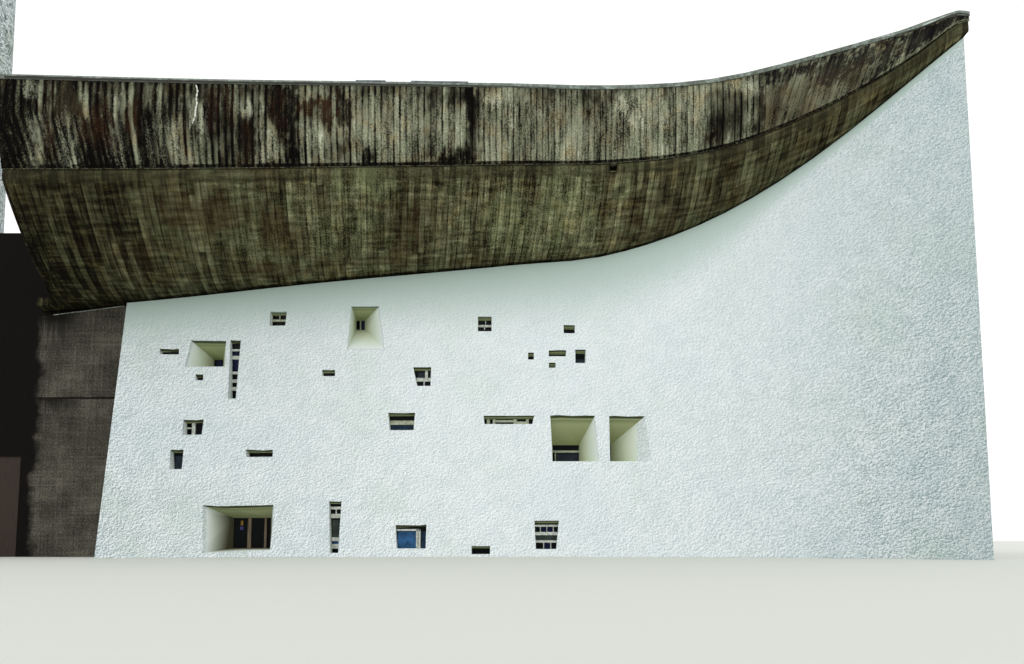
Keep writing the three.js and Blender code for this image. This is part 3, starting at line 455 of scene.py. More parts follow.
# Floor slab. Honed stone paving laid on concrete, smooth and faintly clouded. The walls hide it from
# outside, so it is seen only from the nave.
floor_stone = blotched("honed floor stone", 0.6, 0.5, {"Scale": 6, "Detail": 6},
                       [(0.3, "#7e7b74"), (0.7, "#a09c93")])[0]
coat(floor_stone, "floor_slab")


# Tower. A round shaft of masonry under the same roughcast, more mottled and greyer than the nave. It
# tapers a little and is closed by a rounded half dome that sheds the rain.
TOWER_X, TOWER_Y = -19.2, -5.7
TOWER_FOOT, TOWER_SHOULDER, TOWER_TOP = 2.299, 19.8, 22.0
TOWER_TAPER = 2.18 / 2.3
TOWER_SIDES, DOME_RINGS = 128, 48

bpy.ops.object.select_all(action="DESELECT")
bpy.ops.mesh.primitive_cylinder_add(
    vertices=TOWER_SIDES, radius=TOWER_FOOT, depth=TOWER_SHOULDER, end_fill_type="NOTHING",
    location=(TOWER_X, TOWER_Y, TOWER_SHOULDER / 2))
shaft = bpy.context.object
bpy.ops.object.transform_apply(location=True, rotation=True, scale=True)
with edit_mode():
    bpy.ops.mesh.select_all(action="DESELECT")
for vertex in shaft.data.vertices:
    vertex.select = vertex.co.z > TOWER_SHOULDER / 2
with edit_mode():
    bpy.ops.transform.resize(
        value=(TOWER_TAPER, TOWER_TAPER, 1), center_override=(TOWER_X, TOWER_Y, TOWER_SHOULDER))
bpy.ops.mesh.primitive_uv_sphere_add(
    segments=TOWER_SIDES, ring_count=DOME_RINGS, radius=1, location=(TOWER_X, TOWER_Y, TOWER_SHOULDER))
dome = bpy.context.object
dome.scale = (TOWER_FOOT * TOWER_TAPER, TOWER_FOOT * TOWER_TAPER, TOWER_TOP - TOWER_SHOULDER)
bpy.ops.object.transform_apply(location=True, rotation=True, scale=True)
with edit_mode():
    bpy.ops.mesh.select_all(action="SELECT")
    bpy.ops.mesh.bisect(
        plane_co=(TOWER_X, TOWER_Y, TOWER_SHOULDER + 0.001), plane_no=(0, 0, 1), clear_inner=True)
shaft.select_set(True)
bpy.context.view_layer.objects.active = shaft
bpy.ops.object.join()
with edit_mode():
    bpy.ops.mesh.select_all(action="SELECT")
    bpy.ops.mesh.remove_doubles(threshold=0.01)
    bpy.ops.mesh.fill_holes(sides=0)
    bpy.ops.mesh.normals_make_consistent(inside=False)
bpy.ops.object.shade_smooth_by_angle(angle=0.6)
shaft.name = shaft.data.name = "tower_shaft_and_dome"
tower_roughcast = roughcast(
    "mottled roughcast of the tower", "#5f6d6a", "#a9bbbe", "#f0f5f6", ("#e6e8dd", "#dfe3e2"), 7)[0]
hand_over(shaft, tower_roughcast)
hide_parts("tower_wall_south", "tower_wall_north", "tower_roof")


# Board-marked concrete. The roof was cast against rough planks, which left their width, their
# grain and a raised fin at each joint. Lime, soot and algae then ran down the marks.
def board_marked(name, boards, down, palette, weights, stains=(), gaps=None):
    """Concrete that shows its planks. boards counts planks across, down is metres along them.

    Each stain is an attribute, how far it moves the tone, its colour and how much of that shows.
    gaps names an attribute that widens and darkens the joints, or fades them below zero.
    """
    material, add, place = new_material(name, 0.9, 0.06)
    if isinstance(boards, str):
        across, along_plank = [add("Attribute", out="Fac", attribute_name=mark) for mark in (boards, down)]
    else:
        axis, pitch = boards
        spread = add("SeparateXYZ", (place,), None).outputs
        across = add("Math", (spread[axis], pitch), operation="DIVIDE")
        along_plank = spread[down]
    grime = add("Attribute", out="Fac", attribute_name=gaps) if gaps else 0
    plank, nearest_joint = [add("Math", (across,), operation=way) for way in ("FLOOR", "ROUND")]
    off_joint = add("Math", (across, nearest_joint), operation="SUBTRACT")
    off_joint = add("Math", (off_joint,), operation="ABSOLUTE")
    reach = add("Math", (grime, 0.2, 0.17), operation="MULTIPLY_ADD")
    hollow = add("MapRange", (off_joint, 0, reach, 1, 0), interpolation_type="SMOOTHSTEP")
    track = add("CombineXYZ", (across, along_plank))

    def marks(stretch, detail, roughness=0.5):
        drawn = add("Mapping", {"Vector": track, "Scale": (*stretch, 1)})
        return add("TexNoise", {"Vector": drawn, "Scale": 1, "Detail": detail, "Roughness": roughness})

    own = add("TexWhiteNoise", {"W": plank}, noise_dimensions="1D")
    shifted = add("Math", (own, 7), operation="MULTIPLY")
    length = add("Math", (along_plank, 0.62, shifted), operation="MULTIPLY_ADD")
    cell = add("CombineXYZ", (plank, add("Math", (length,), operation="FLOOR")))
    sources = {
        "own": own,
        "board": add("TexWhiteNoise", {"Vector": cell}, noise_dimensions="2D"),
        "grain": marks((2.3, 1.1), 4, 0.65),
        "streaks": marks((0.7, 0.4), 3),
        "dashes": marks((2, 1.9), 3),
        "weave": marks((0.25, 8), 2),
        "mottle": add("TexNoise", {"Vector": place, "Scale": 24, "Detail": 3, "Roughness": 0.7}),
        "broad": add("TexNoise", {"Vector": place, "Scale": 0.8, "Detail": 4}),
    }
    parts = [(sources[mark], weight) for mark, weight in weights.items() if mark in sources]
    tone = weighed(add, 0.5, parts)
    worn = add("MapRange", (marks((0.7, 1.7), 2), 0.36, 0.62, 0.25, 1.1))
    joint_depth = add("TexWhiteNoise", {"W": nearest_joint}, noise_dimensions="1D")
    joint_depth = add("Math", (joint_depth, 0.8, 0.35), operation="MULTIPLY_ADD")
    filled = add("Math", (grime, 1))
    for factor in (worn, filled, joint_depth):
        hollow = add("Math", (hollow, factor), operation="MULTIPLY")
    tone = add("Math", (hollow, -weights["joint"], tone), operation="MULTIPLY_ADD")
    broken = weighed(add, 0, [(sources["grain"], 3.2), (sources["mottle"], 3)])
    covers = []
    for stain, shift, colour, share in stains:
        amount = add("Attribute", out="Fac", attribute_name=stain)
        cover = add("MapRange", (add("Math", (amount, broken)), 0.25, 0.75))
        limit = add("Math", (amount, 1.5), operation="MULTIPLY", use_clamp=True)
        cover = add("Math", (cover, limit), operation="MULTIPLY")
        tone = add("Math", (cover, shift, tone), operation="MULTIPLY_ADD")
        covers.append((add("Math", (cover, share), operation="MULTIPLY"), colour))
    paint = add("ValToRGB", {"Fac": tone}, stops=palette)
    hue = add("TexNoise", {"Vector": place, "Scale": 1.9, "Detail": 5, "Roughness": 0.65})
    hue = add("ValToRGB", {"Fac": hue}, stops=WARM_TO_COOL)
    paint = add("Mix", {0: 1, 6: paint, 7: hue}, **RGBA, blend_type="MULTIPLY")
    for cover, colour in covers:
        paint = add("Mix", {0: cover, 6: paint, 7: colour}, **RGBA)
    relief = weighed(add, 0.5, [(sources["grain"], 0.5), (sources["mottle"], 0.6)])
    relief = add("Math", (hollow, -0.6, relief), operation="MULTIPLY_ADD")
    surface(material, paint, relief, 0.6, 0.015)
    return material


PLANK = 0.17
WARM_TO_COOL = [(0.36, "#fff0de"), (0.5, "#ffffff"), (0.64, "#f1f9f0")]
BAND_PALETTE = [(0, "#060403"), (0.2, "#353429"), (0.5, "#747663"), (0.8, "#9c9e87"), (1, "#c4c4b0")]
SOFFIT_PALETTE = [(0, "#0d0b06"), (0.2, "#2c291a"), (0.5, "#51503a"), (0.8, "#76765a"), (1, "#9c9c7a")]
BAND_WEIGHTS = {"joint": 0.36, "own": 0.12, "board": 0.08, "grain": 1.25, "streaks": 0.7, "dashes": 0.5,
                "mottle": 1.5, "broad": 0.9}
SOFFIT_WEIGHTS = {"joint": 0.36, "own": 0.08, "board": 0.36, "grain": 0.9, "dashes": 0.8,
                  "weave": 0.9, "mottle": 1.3, "broad": 0.35}
across_x, across_y = [
    board_marked(f"board-marked concrete, planks along {way}", (axis, PLANK), 2, BAND_PALETTE, BAND_WEIGHTS)
    for axis, way in enumerate("xy")]
coat(across_x, "roof_band_south", "roof_band_north", "roof_band_northwest")
coat(across_y, "roof_band_east", "roof_band_west")
shell_planks = board_marked("board-marked soffit concrete", (0, PLANK), 1, SOFFIT_PALETTE, SOFFIT_WEIGHTS)
coat(shell_planks, "roof_lower_shell_west", "roof_lower_shell_east")

# Over the porch, at the far west end, painted deep shade makes the concrete nearly black.
PAINTED_WEST_SHADE = ((shell_planks, 0, -11.5, -12.8), (across_y, 2, 10.5, 9))
for material, axis, shade_starts, shade_full in PAINTED_WEST_SHADE:
    add = partial(add_node, material.node_tree)
    shader = material.node_tree.nodes["Principled BSDF"]
    paint = shader.inputs["Base Color"].links[0].from_socket
    spread = add("SeparateXYZ", (add("TexCoord", out="Object"),), None).outputs
    painted_deep_shade = add("MapRange", (spread[axis], shade_starts, shade_full, 0, 0.93))
    southern = add("MapRange", (spread[1], -3, -5))
    painted_deep_shade = add("Math", (painted_deep_shade, southern), operation="MULTIPLY")
    surface(material, add("Mix", {0: painted_deep_shade, 6: paint, 7: "#0f0c08"}, **RGBA))


# Upper shell. A shell of cast concrete that lies open to the rain, between the bands of the roof's
# edge. It has weathered to cloudy greys and browns, without the marks of planks.
top_concrete, add, place = new_material("weathered roof concrete", 0.93)
cloud = add("TexNoise", {"Vector": place, "Scale": 0.6, "Detail": 8, "Roughness": 0.62})
speck = add("TexNoise", {"Vector": place, "Scale": 11, "Detail": 5})
mixed = add("Math", (speck, 0.35, cloud), operation="MULTIPLY_ADD")
paint = add("ValToRGB", {"Fac": mixed}, stops=[(0.4, "#55543f"), (0.6, "#7d7a6c"), (0.85, "#a3a092")])
surface(top_concrete, paint, mixed, 0.5, 0.02)
coat(top_concrete, "roof_upper_shell")


# South band. The upright edge of the roof, 2.3 m high, cast against upright planks 170 mm wide.
# Its foot curves in to the joint with the lower shell, and it thins out to the prow.
def along(knots):
    """A smooth line through (x, value) knots, run on straight past both ends."""
    xs, values = np.array(knots).T
    here = np.arange(len(xs))
    before, after = np.maximum(here - 1, 0), np.minimum(here + 1, len(xs) - 1)
    slopes = (values[after] - values[before]) / (xs[after] - xs[before])

    def value(x):
        x = np.asarray(x, float)
        i = np.clip(np.searchsorted(xs, x) - 1, 0, len(xs) - 2)
        span = xs[i + 1] - xs[i]
        share = np.clip((x - xs[i]) / span, 0, 1)
        swing = span * share * (1 - share) * ((1 - share) * slopes[i] - share * slopes[i + 1])
        inside = values[i] + (values[i + 1] - values[i]) * share * share * (3 - 2 * share) + swing
        return inside + slopes[0] * np.minimum(x - xs[0], 0) + slopes[-1] * np.maximum(x - xs[-1], 0)

    return value


rim_y = along([
    (-13, -10.8), (-8, -9.65), (-4, -8.85), (0, -8.2), (3, -7.9), (6, -8), (9, -8.6), (12.45, -9.88)])
rim_z = along([
    (-13, 12.1), (-8, 12.77), (-4, 13.27), (0, 13.67), (3, 13.82), (6, 13.97), (9, 14.36),
    (11.1, 14.54), (11.95, 14.68), (12.25, 14.56)])
PROW_X, PROW_Y = 12.22, -9.8
ROOF_CORNER_X, ROOF_CORNER_Y = -12.83, -10.8
BAND_TALL, BAND_AT_PROW = 2.32, 0.24
TAPER_LENGTH, TAPER_POWER = 3.6, 1.15
FOOT_INSET, FOOT_POWER = 0.28, 2.5
CAP_HEIGHT, CAP_PROUD = 0.12, 0.03
CORE_PROUD, BAND_PROUD = 0.04, 0.014
END_GAP, EDGE_GAP = 0.02, 0.001


def band_height(x, y):
    """Height of the band at a point of the roof's edge."""
    distance = np.hypot(x - PROW_X, y - PROW_Y)
    grown = 1 - np.exp(-((distance / TAPER_LENGTH) ** TAPER_POWER))
    return BAND_AT_PROW + (BAND_TALL - BAND_AT_PROW) * grown


def joint_z(x):
    """Height of the joint between the band and the lower shell."""
    return rim_z(x) - band_height(x, rim_y(x))


def on_band(x, drop, proud):
    """Points on the band's face. drop runs from 0 at the cap to 1 at the joint."""
    tall = band_height(x, rim_y(x))
    inward = FOOT_INSET * tall / BAND_TALL - CORE_PROUD
    y = rim_y(x) + inward * drop ** FOOT_POWER - proud
    z = (rim_z(x) - CAP_HEIGHT - EDGE_GAP) * (1 - drop) + (joint_z(x) + EDGE_GAP) * drop
    return np.stack([x, y, z], axis=-1)


def lay_grid(name, columns, rows, place):
    """A sheet of faces whose corners lie where place(column, row) says. Row 0 is the top."""
    bpy.ops.object.select_all(action="DESELECT")
    bpy.ops.mesh.primitive_grid_add(x_subdivisions=columns, y_subdivisions=rows, size=2)
    sheet = bpy.context.object
    sheet.name = sheet.data.name = name
    flat = np.empty(len(sheet.data.vertices) * 3)
    sheet.data.vertices.foreach_get("co", flat)
    column = np.rint((flat[0::3] + 1) / 2 * columns).astype(int)
    row = np.rint((1 - flat[1::3]) / 2 * rows).astype(int)
    sheet.data.vertices.foreach_set("co", place(column, row).ravel())
    sheet.data.update()
    return sheet, column, row


def paint_points(sheet, **values):
    """Keeps named numbers for each corner of a sheet, for its material to read."""
    for name, numbers in values.items():
        attribute = sheet.data.attributes.new(name, "FLOAT", "POINT")
        attribute.data.foreach_set("value", np.asarray(numbers, np.float32))


def ragged(across, down):
    """Noise from about -1 to 1 that gives stains their broken edges and drips."""
    return np.array([noise.fractal(Vector((*spot, 0)), 1.0, 2.0, 4) for spot in zip(across, down)])


SKIN = 0.02
BAND_ROWS = 46
BAND_END = PROW_X - END_GAP
PLANK_STEPS = np.array([0, 0.07, 0.3, 0.7, 0.93])
PLANK_SET, JOINT_DEPTH = 0.005, 0.009
fine_x = np.linspace(ROOF_CORNER_X, BAND_END, 2000)
fine_run = np.concatenate([[0], np.cumsum(np.hypot(np.diff(fine_x), np.diff(rim_y(fine_x))))])
planks = int(fine_run[-1] / PLANK)
plank_count = np.append((np.arange(planks)[:, None] + PLANK_STEPS).ravel(), planks)
rng = np.random.default_rng(7)
plank_set = np.append(rng.uniform(-PLANK_SET, PLANK_SET, planks), 0)
column_x = np.interp(plank_count / planks * fine_run[-1], fine_run, fine_x)
column_set = np.where(plank_count % 1 < 0.01, -JOINT_DEPTH, plank_set[plank_count.astype(int)])
column_tall = band_height(column_x, rim_y(column_x))

# East of the seam the planks were set leaning, with their heads towards the prow, and at the west
# end their lower halves lean the same way as the curved foot of the band.
SEAM_X, EAST_LEAN, LEAN_GROWS = 7.32, 0.3, 0.5
WEST_LEAN, WEST_LEAN_END, WEST_LEAN_TOP = 0.28, -7.9, 0.4
lean = EAST_LEAN * np.clip((column_x - SEAM_X) / LEAN_GROWS, 0, 1)


def band_corner(column, row):
    drop = row / BAND_ROWS
    x = column_x[column] + lean[column] * column_tall[column] * (0.5 - drop)
    return on_band(np.clip(x, ROOF_CORNER_X, BAND_END), drop, BAND_PROUD + column_set[column])


band, column, row = lay_grid("south_band_planks", len(column_x) - 1, BAND_ROWS, band_corner)
x, drop = column_x[column], row / BAND_ROWS
tall = column_tall[column]
west_share = np.interp(x, [ROOF_CORNER_X, WEST_LEAN_END], [1, 0])
foot_lean = WEST_LEAN * west_share * tall * np.maximum(drop - WEST_LEAN_TOP, 0)
paint_points(band, planks=plank_count[column] - foot_lean / PLANK, plank_run=drop * tall)

# Stains, each from west to east in metres, from top to foot as shares of the band's height, and how
# strong it is.
BAND_STAINS = {
    "soot": [(-12.83, -12.25, 0.3, 1, 0.9), (-12.1, -11.95, 0.55, 1, 0.6), (-11.02, -10.35, 0.38, 1, 1),
             (-10.35, -10.15, 0.6, 1, 0.6), (-9.15, -8.66, 0.15, 0.3, 0.8), (-9.15, -9, 0.2, 0.46, 0.8),
             (-8.23, -7.41, 0, 0.24, 0.6), (-7.41, -6.88, 0.4, 1, 0.8), (-7.75, -7.41, 0.86, 1, 0.9),
             (-6.65, -5.86, 0.02, 0.54, 1), (-6.36, -6.24, 0.5, 0.7, 0.9), (-6.04, -5.9, 0.5, 0.74, 0.9),
             (-6.06, -5.88, 0.8, 1, 0.9), (-5.88, -5.42, 0.18, 0.42, 0.8),
             (-5.56, -5.46, 0.4, 0.62, 0.8), (-5.34, -4.84, 0.14, 0.46, 0.7),
             (-5.1, -5, 0.44, 0.54, 0.8), (-4.84, -4.46, 0.14, 0.5, 1), (-4.9, -4.5, 0.66, 0.95, 0.6),
             (-4.17, -3.95, 0.82, 1, 1), (-2.45, -0.92, 0, 0.28, 0.6), (-2.45, -2.34, 0, 0.9, 0.6),
             (-2.02, -0.92, 0.87, 1, 1.2), (-1.28, -0.96, 0, 1, 0.8), (-0.1, 0.1, 0.84, 1, 0.4),
             (5.7, 6.8, 0.1, 0.95, 0.55), (7.05, 7.3, 0, 1, 0.6), (7.3, 12.3, 0, 1, 0.35)],
    "plum": [(7.35, 8.6, 0, 0.22, 0.75), (8.55, 9.5, 0, 0.62, 0.75), (9.5, 10.3, 0, 0.5, 0.7),
             (10.2, 10.6, 0, 0.95, 0.8), (10.6, 12.3, 0, 0.8, 0.85)],
    "rust": [(-11.95, -11.6, 0, 1, 0.5), (-11.1, -10.25, 0.25, 0.8, 0.6), (-10, -9.75, 0.3, 0.6, 0.8),
             (-8.75, -8.6, 0.45, 1, 0.6), (-8.15, -7.8, 0.1, 0.52, 0.5), (-7.7, -7.45, 0.08, 0.52, 0.5),
             (-7.3, -7, 0.42, 1, 0.5), (-6.6, -6.2, 0.1, 0.5, 0.5), (-5.88, -5.42, 0.18, 0.4, 0.7),
             (-5.34, -4.84, 0.15, 0.44, 0.8)],
    "lime": [(-12.27, -11.85, 0.02, 0.2, 0.7), (-12.22, -11.8, 0.45, 0.98, 0.5),
             (-11.55, -11.1, 0.4, 0.98, 0.5), (-10.44, -10.1, 0.1, 1, 0.4),
             (-9.6, -8.75, 0.4, 0.95, 0.35), (-8.6, -8.18, 0.3, 0.56, 0.8),
             (-7.29, -6.8, 0.26, 0.42, 0.9), (-6.85, -6.4, 0.45, 0.95, 0.5),
             (-5.75, -5.3, 0.45, 0.75, 0.5), (-0.8, -0.3, 0.05, 0.3, 0.7), (-0.1, 0.1, 0.1, 0.6, 0.5),
             (3.08, 3.4, 0.08, 0.3, 0.8), (3.49, 3.8, 0.3, 0.5, 0.9), (6.74, 7.16, 0.06, 0.27, 0.7)],
    "tan": [(-11.6, -10.98, 0.05, 0.48, 0.8), (-5.6, -3.2, 0.15, 0.5, 0.5), (-2.9, -2.2, 0.25, 0.6, 0.5),
            (-0.9, 3.1, 0.12, 0.75, 0.4), (7.3, 9.9, 0.3, 1, 0.7)],
}
blot = ragged(x * 2.4, drop * 3.2)
drip = ragged(x * 7 + 50, drop * 1.1)
fray = ragged(x * 17 + 90, drop * 9)
EDGE_ACROSS, EDGE_DOWN = 0.2, 0.14


def stained(kind):
    """How strongly one kind of stain marks each corner of the band. Plum ones are the most broken."""
    blots, drips, frays = (0.4, 0.7, 1.4) if kind == "plum" else (0.6, 1.3, 0.5)
    total = np.zeros_like(x)
    for west, east, top, foot, strong in BAND_STAINS[kind]:
        across = np.minimum(x - west, east - x) / EDGE_ACROSS + 0.6 + blots * blot + frays * fray
        down = np.minimum(drop - top, foot - drop) / EDGE_DOWN + 0.6 + blots * blot
        down = np.clip(down + drips * drip + frays * fray, 0, 1)
        total = np.maximum(total, strong * np.clip(across, 0, 1) * down)
    return total


# Soot gathers under the cap all along, deepest at the west end. Painted shadow lies over the joint, in a
# soft band and a dark line, and the soot attribute carries it. The west third is also grimy between its
# planks, and past the seam the marks grow faint.
soot_reach = np.interp(x, [-12.8, -8.5, -7, -3, 0, 3, 4.5, 6, 7.3, 8, 12.3],
                       [0.5, 0.3, 0.25, 0.2, 0.26, 0.26, 0.16, 0.1, 0.3, 0.4, 0.6])
under_cap = np.clip(1.0 - drop / soot_reach + 0.8 * blot + 0.8 * drip, 0, 1)
under_cap = under_cap * np.interp(x, [-13, -4, 12], [0.8, 0.55, 0.5])
painted_shadow_over_joint = np.clip((drop - 0.95) / 0.05 + 0.8 * drip, 0, 1) * 0.4
painted_shadow_at_joint = np.where(row >= BAND_ROWS - 1, 1.5, 0)
wander = ragged(x * 1.2, drop * 1.5 + 40)
streaky = ragged(x * 4.5 + 20, drop * 0.9 + 60)
west_grime = np.interp(x, [-12.8, -11, -9, -6, -4], [1.15, 1.05, 0.8, 0.5, 0.1])
west_grime = west_grime * np.clip(0.62 + 1.5 * streaky + 0.7 * wander, 0, 1)
soot = np.maximum.reduce([stained("soot"), under_cap, painted_shadow_over_joint, painted_shadow_at_joint, west_grime])
grime = np.interp(x, [-12.8, -6, -3, 1, 5, 7.3, 7.4], [1, 0.85, 0.45, 0.15, 0.12, 0.4, -0.35])
paint_points(band, soot=soot, gaps=grime, **{kind: stained(kind) for kind in ("plum", "rust", "lime", "tan")})
apply_modifier(band, "SOLIDIFY", thickness=SKIN, offset=-1)
band_concrete = board_marked(
    "sooty board-marked band concrete", "planks", "plank_run", BAND_PALETTE, BAND_WEIGHTS,
    [("tan", -0.06, "#6a5f47", 0.25), ("lime", 0.3, "#a9ad98", 0.3), ("rust", -0.14, "#4a2c18", 0.36),
     ("soot", -0.44, "#0c0906", 0.3), ("plum", -0.36, "#201d22", 0.3)], "gaps")
hand_over(band, band_concrete)


# Lime crack. Water that seeps through a crack in the band has left a thin crooked line of lime. Its
# crust stands about a centimetre proud, matt and paler than anything else on the band.
CRACK_X, CRACK_WIDTH, CRACK_ROWS = -8.39, 0.045, 24
CRACK_TOP, CRACK_FOOT = 0.02, 0.5
CRACK_PROUD, CRUST = 0.012, 0.01
CRACK_SWAY = [0, 0.04, 0.015, 0.03, 0, -0.01, -0.08]


def crack_corner(column, row):
    share = row / CRACK_ROWS
    sway = np.interp(share, np.linspace(0, 1, len(CRACK_SWAY)), CRACK_SWAY)
    wide = CRACK_WIDTH * (0.35 + 0.65 * np.abs(np.sin(row * 1.9)))
    wide = wide * np.interp(share, [0, 0.1, 0.9, 1], [0.5, 1, 1, 0.3])
    drop = CRACK_TOP + (CRACK_FOOT - CRACK_TOP) * share
    return on_band(CRACK_X + sway + (column - 0.5) * wide, drop, BAND_PROUD + CRACK_PROUD)


crack = lay_grid("lime_crack", 1, CRACK_ROWS, crack_corner)[0]
apply_modifier(crack, "SOLIDIFY", thickness=CRUST, offset=-1)
lime_crust = blotched("lime crust", 0.85, 0.5, {"Scale": 18, "Detail": 4},
                      [(0.35, "#8f9383"), (0.55, "#d9dbcd")])[0]
hand_over(crack, lime_crust)


# Lower shell's soffit. The underside of the roof, cast against planks that run from the joint to
# the wall, with a smooth upright strip under the joint. It is dark with damp and green with algae,
# and has painted shadow along its edges and painted shade along the wall and on the strip.
SOFFIT_PROUD = 0.03
SHELL_EDGE, HULL_POWER = 0.25, 1.8
LIGHT_SLIT, SLIT_AT_PROW = 0.1, 0.045
PLANK_SLANT, SLANT_FROM_Y = 0.1726, -8
EAST_GAP, EAST_SLOPE, WEST_GAP = 0.014, 0.228, 0.004
WEST_SWEEP, WEST_POWER = 1.2, 2.5
PORCH_FACE_Y = -6.7
DRAIN_WEST, DRAIN_EAST, DRAIN_HEIGHT = 2.875, 3.105, 0.24
wall_top_y = along(WALL_TOP)
wall_head_z = along(WALL_HEAD)


def seat_z(x):
    """Height of the soffit over the top of the wall, above the slit of light."""
    share = np.clip((x - WALL_WEST) / (WALL_EAST - WALL_WEST), 0, 1)
    slit = LIGHT_SLIT + (SLIT_AT_PROW - LIGHT_SLIT) * share ** 2
    return np.minimum(wall_head_z(x) + slit, joint_z(x) - SHELL_EDGE - END_GAP)


def joint_y(x):
    """Plan line of the joint, at the band's curved foot."""
    return rim_y(x) + FOOT_INSET * band_height(x, rim_y(x)) / BAND_TALL


def west_edge(y):
    """X of the roof's west edge, which sweeps out to the west as it runs in from the corner."""
    share = np.maximum(0, y - ROOF_CORNER_Y) / (PORCH_FACE_Y - ROOF_CORNER_Y)
    return ROOF_CORNER_X - WEST_SWEEP * share ** WEST_POWER


# Rows go down the upright edge of the shell, up the soffit, then on over the light slit.
EDGE_ROWS = np.array([0.002, 0.05, 0.1, 0.15, 0.2])
HULL_ROWS = 50
SLIT_ROWS = np.array([0.12, 0.3, 0.5])
LANE_SET, LANE_JOINT = 0.004, 0.005
MEETING_ROUNDS, WEST_STEPS, WEST_STEP = 12, 60, 0.06
SHORTEST_LANE = 0.02
lane_start, lane_end = -14.05, PROW_X - 0.25
lanes = int((lane_end - lane_start) / PLANK)
lane_count = np.append((np.arange(lanes)[:, None] + PLANK_STEPS).ravel(), lanes)
lane_x = lane_start + lane_count * PLANK
lane_set = np.append(rng.uniform(-LANE_SET, LANE_SET, lanes), 0)
lane_proud = SOFFIT_PROUD + np.where(lane_count % 1 < 0.01, -LANE_JOINT, lane_set[lane_count.astype(int)])


def lane_point(lane, y):
    """X on a slanting lane of planks at a given y, inside the east edge."""
    slanted = lane - PLANK_SLANT * (y - SLANT_FROM_Y)
    return np.minimum(slanted, PROW_X - EAST_GAP - EAST_SLOPE * (y - PROW_Y))


def lane_end_y(lane, line):
    """Y where a lane meets a plan line, closed in on round by round."""
    y = np.full_like(lane, SLANT_FROM_Y)
    for _ in range(MEETING_ROUNDS):
        y = line(lane_point(lane, y))
    return y


# The first lanes start further in, where the roof's west edge has swept out far enough for them.
start_y = lane_end_y(lane_x, joint_y)
for _ in range(WEST_STEPS):
    outside = lane_point(lane_x, start_y) < west_edge(start_y) + WEST_GAP
    start_y = np.where(outside, start_y + WEST_STEP, start_y)
stop_y = np.maximum(lane_end_y(lane_x, wall_top_y), start_y + SHORTEST_LANE)

hull_share = np.linspace(0, 1, HULL_ROWS + 1)
y = start_y[:, None] + (stop_y - start_y)[:, None] * hull_share
y = np.hstack([np.repeat(start_y[:, None], len(EDGE_ROWS), axis=1), y, stop_y[:, None] + SLIT_ROWS])
x = lane_point(lane_x[:, None], y)
at_joint = np.clip((y - joint_y(x)) / np.maximum(wall_top_y(x) - joint_y(x), 0.05), 0, 1)
z = seat_z(x) + (joint_z(x) - SHELL_EDGE - seat_z(x)) * (1 - at_joint) ** HULL_POWER
z[:, :len(EDGE_ROWS)] += SHELL_EDGE - EDGE_ROWS

# The form boards were sprung round the edge, so the turn from edge to soffit is soft.
for _ in range(3):
    for line in (y, z):
        line[:, 1:-1] = (line[:, :-2] + 2 * line[:, 1:-1] + line[:, 2:]) / 4
turn_y, turn_z = np.gradient(y, axis=1), np.gradient(z, axis=1)
turn = np.hypot(turn_y, turn_z)
out = lane_proud[:, None] * np.interp(np.arange(y.shape[1]), [0, 3], [0.5, 1])
soffit_spots = np.stack([x, y + out * turn_z / turn, z - out * turn_y / turn], axis=-1)
soffit, column, row = lay_grid(
    "soffit_planks", len(lane_x) - 1, y.shape[1] - 1, lambda column, row: soffit_spots[column, row])

steps = np.diff(soffit_spots, axis=1, prepend=soffit_spots[:, :1])
soffit_run = np.cumsum(np.linalg.norm(steps, axis=2), axis=1)
x, y, z = soffit_spots[column, row].T
from_joint = y - joint_y(x)
from_west = x - west_edge(y)
below_joint = joint_z(x) - z
paint_points(soffit, planks=lane_count[column], plank_run=soffit_run[column, row])
cloud = ragged(x * 0.9, y * 0.9)
patch = ragged(x * 2.6 + 30, y * 2.6)


def smudges(*spots):
    """Soft patches with wandering edges, each given as x and distance in from the joint, its half
    sizes that way, and its strength."""
    return np.maximum.reduce([
        strong * np.clip(
            1.25 - np.hypot((x - centre_x) / half_x, (from_joint - centre_in) / half_in)
            + 0.5 * cloud + 0.5 * patch, 0, 1)
        for centre_x, centre_in, half_x, half_in, strong in spots])


algae = smudges(
    (-4.1, 0.1, 1.0, 0.5, 1), (-0.2, 0.7, 1.0, 0.9, 0.8), (1.6, 0.6, 1.2, 0.8, 0.8),
    (-5.2, 0.9, 1.6, 1.2, 0.5), (-7.6, 1.3, 1.6, 0.9, 0.45), (0.2, 1.2, 1.3, 0.6, 0.6))
rust = smudges(
    (-8.4, 0.6, 1.3, 0.5, 1), (-6.6, 0.9, 0.7, 0.9, 1), (-3.0, 1.0, 0.9, 1.2, 0.7),
    (-5.3, 0.4, 0.7, 0.4, 0.6), (-7.2, 2.2, 1.6, 0.35, 1), (-10.6, 1.6, 1.2, 0.7, 0.5),
    (-2.5, 1.9, 4.5, 0.25, 0.7), (4.2, 0.9, 1.4, 0.8, 0.5))
west_damp = np.interp(x, [-14, -11, -9, -6], [0.9, 0.6, 0.4, 0])
end_damp = west_damp + np.interp(x, [2, 4.5, 7, 10], [0, 0.3, 0.38, 0.45])
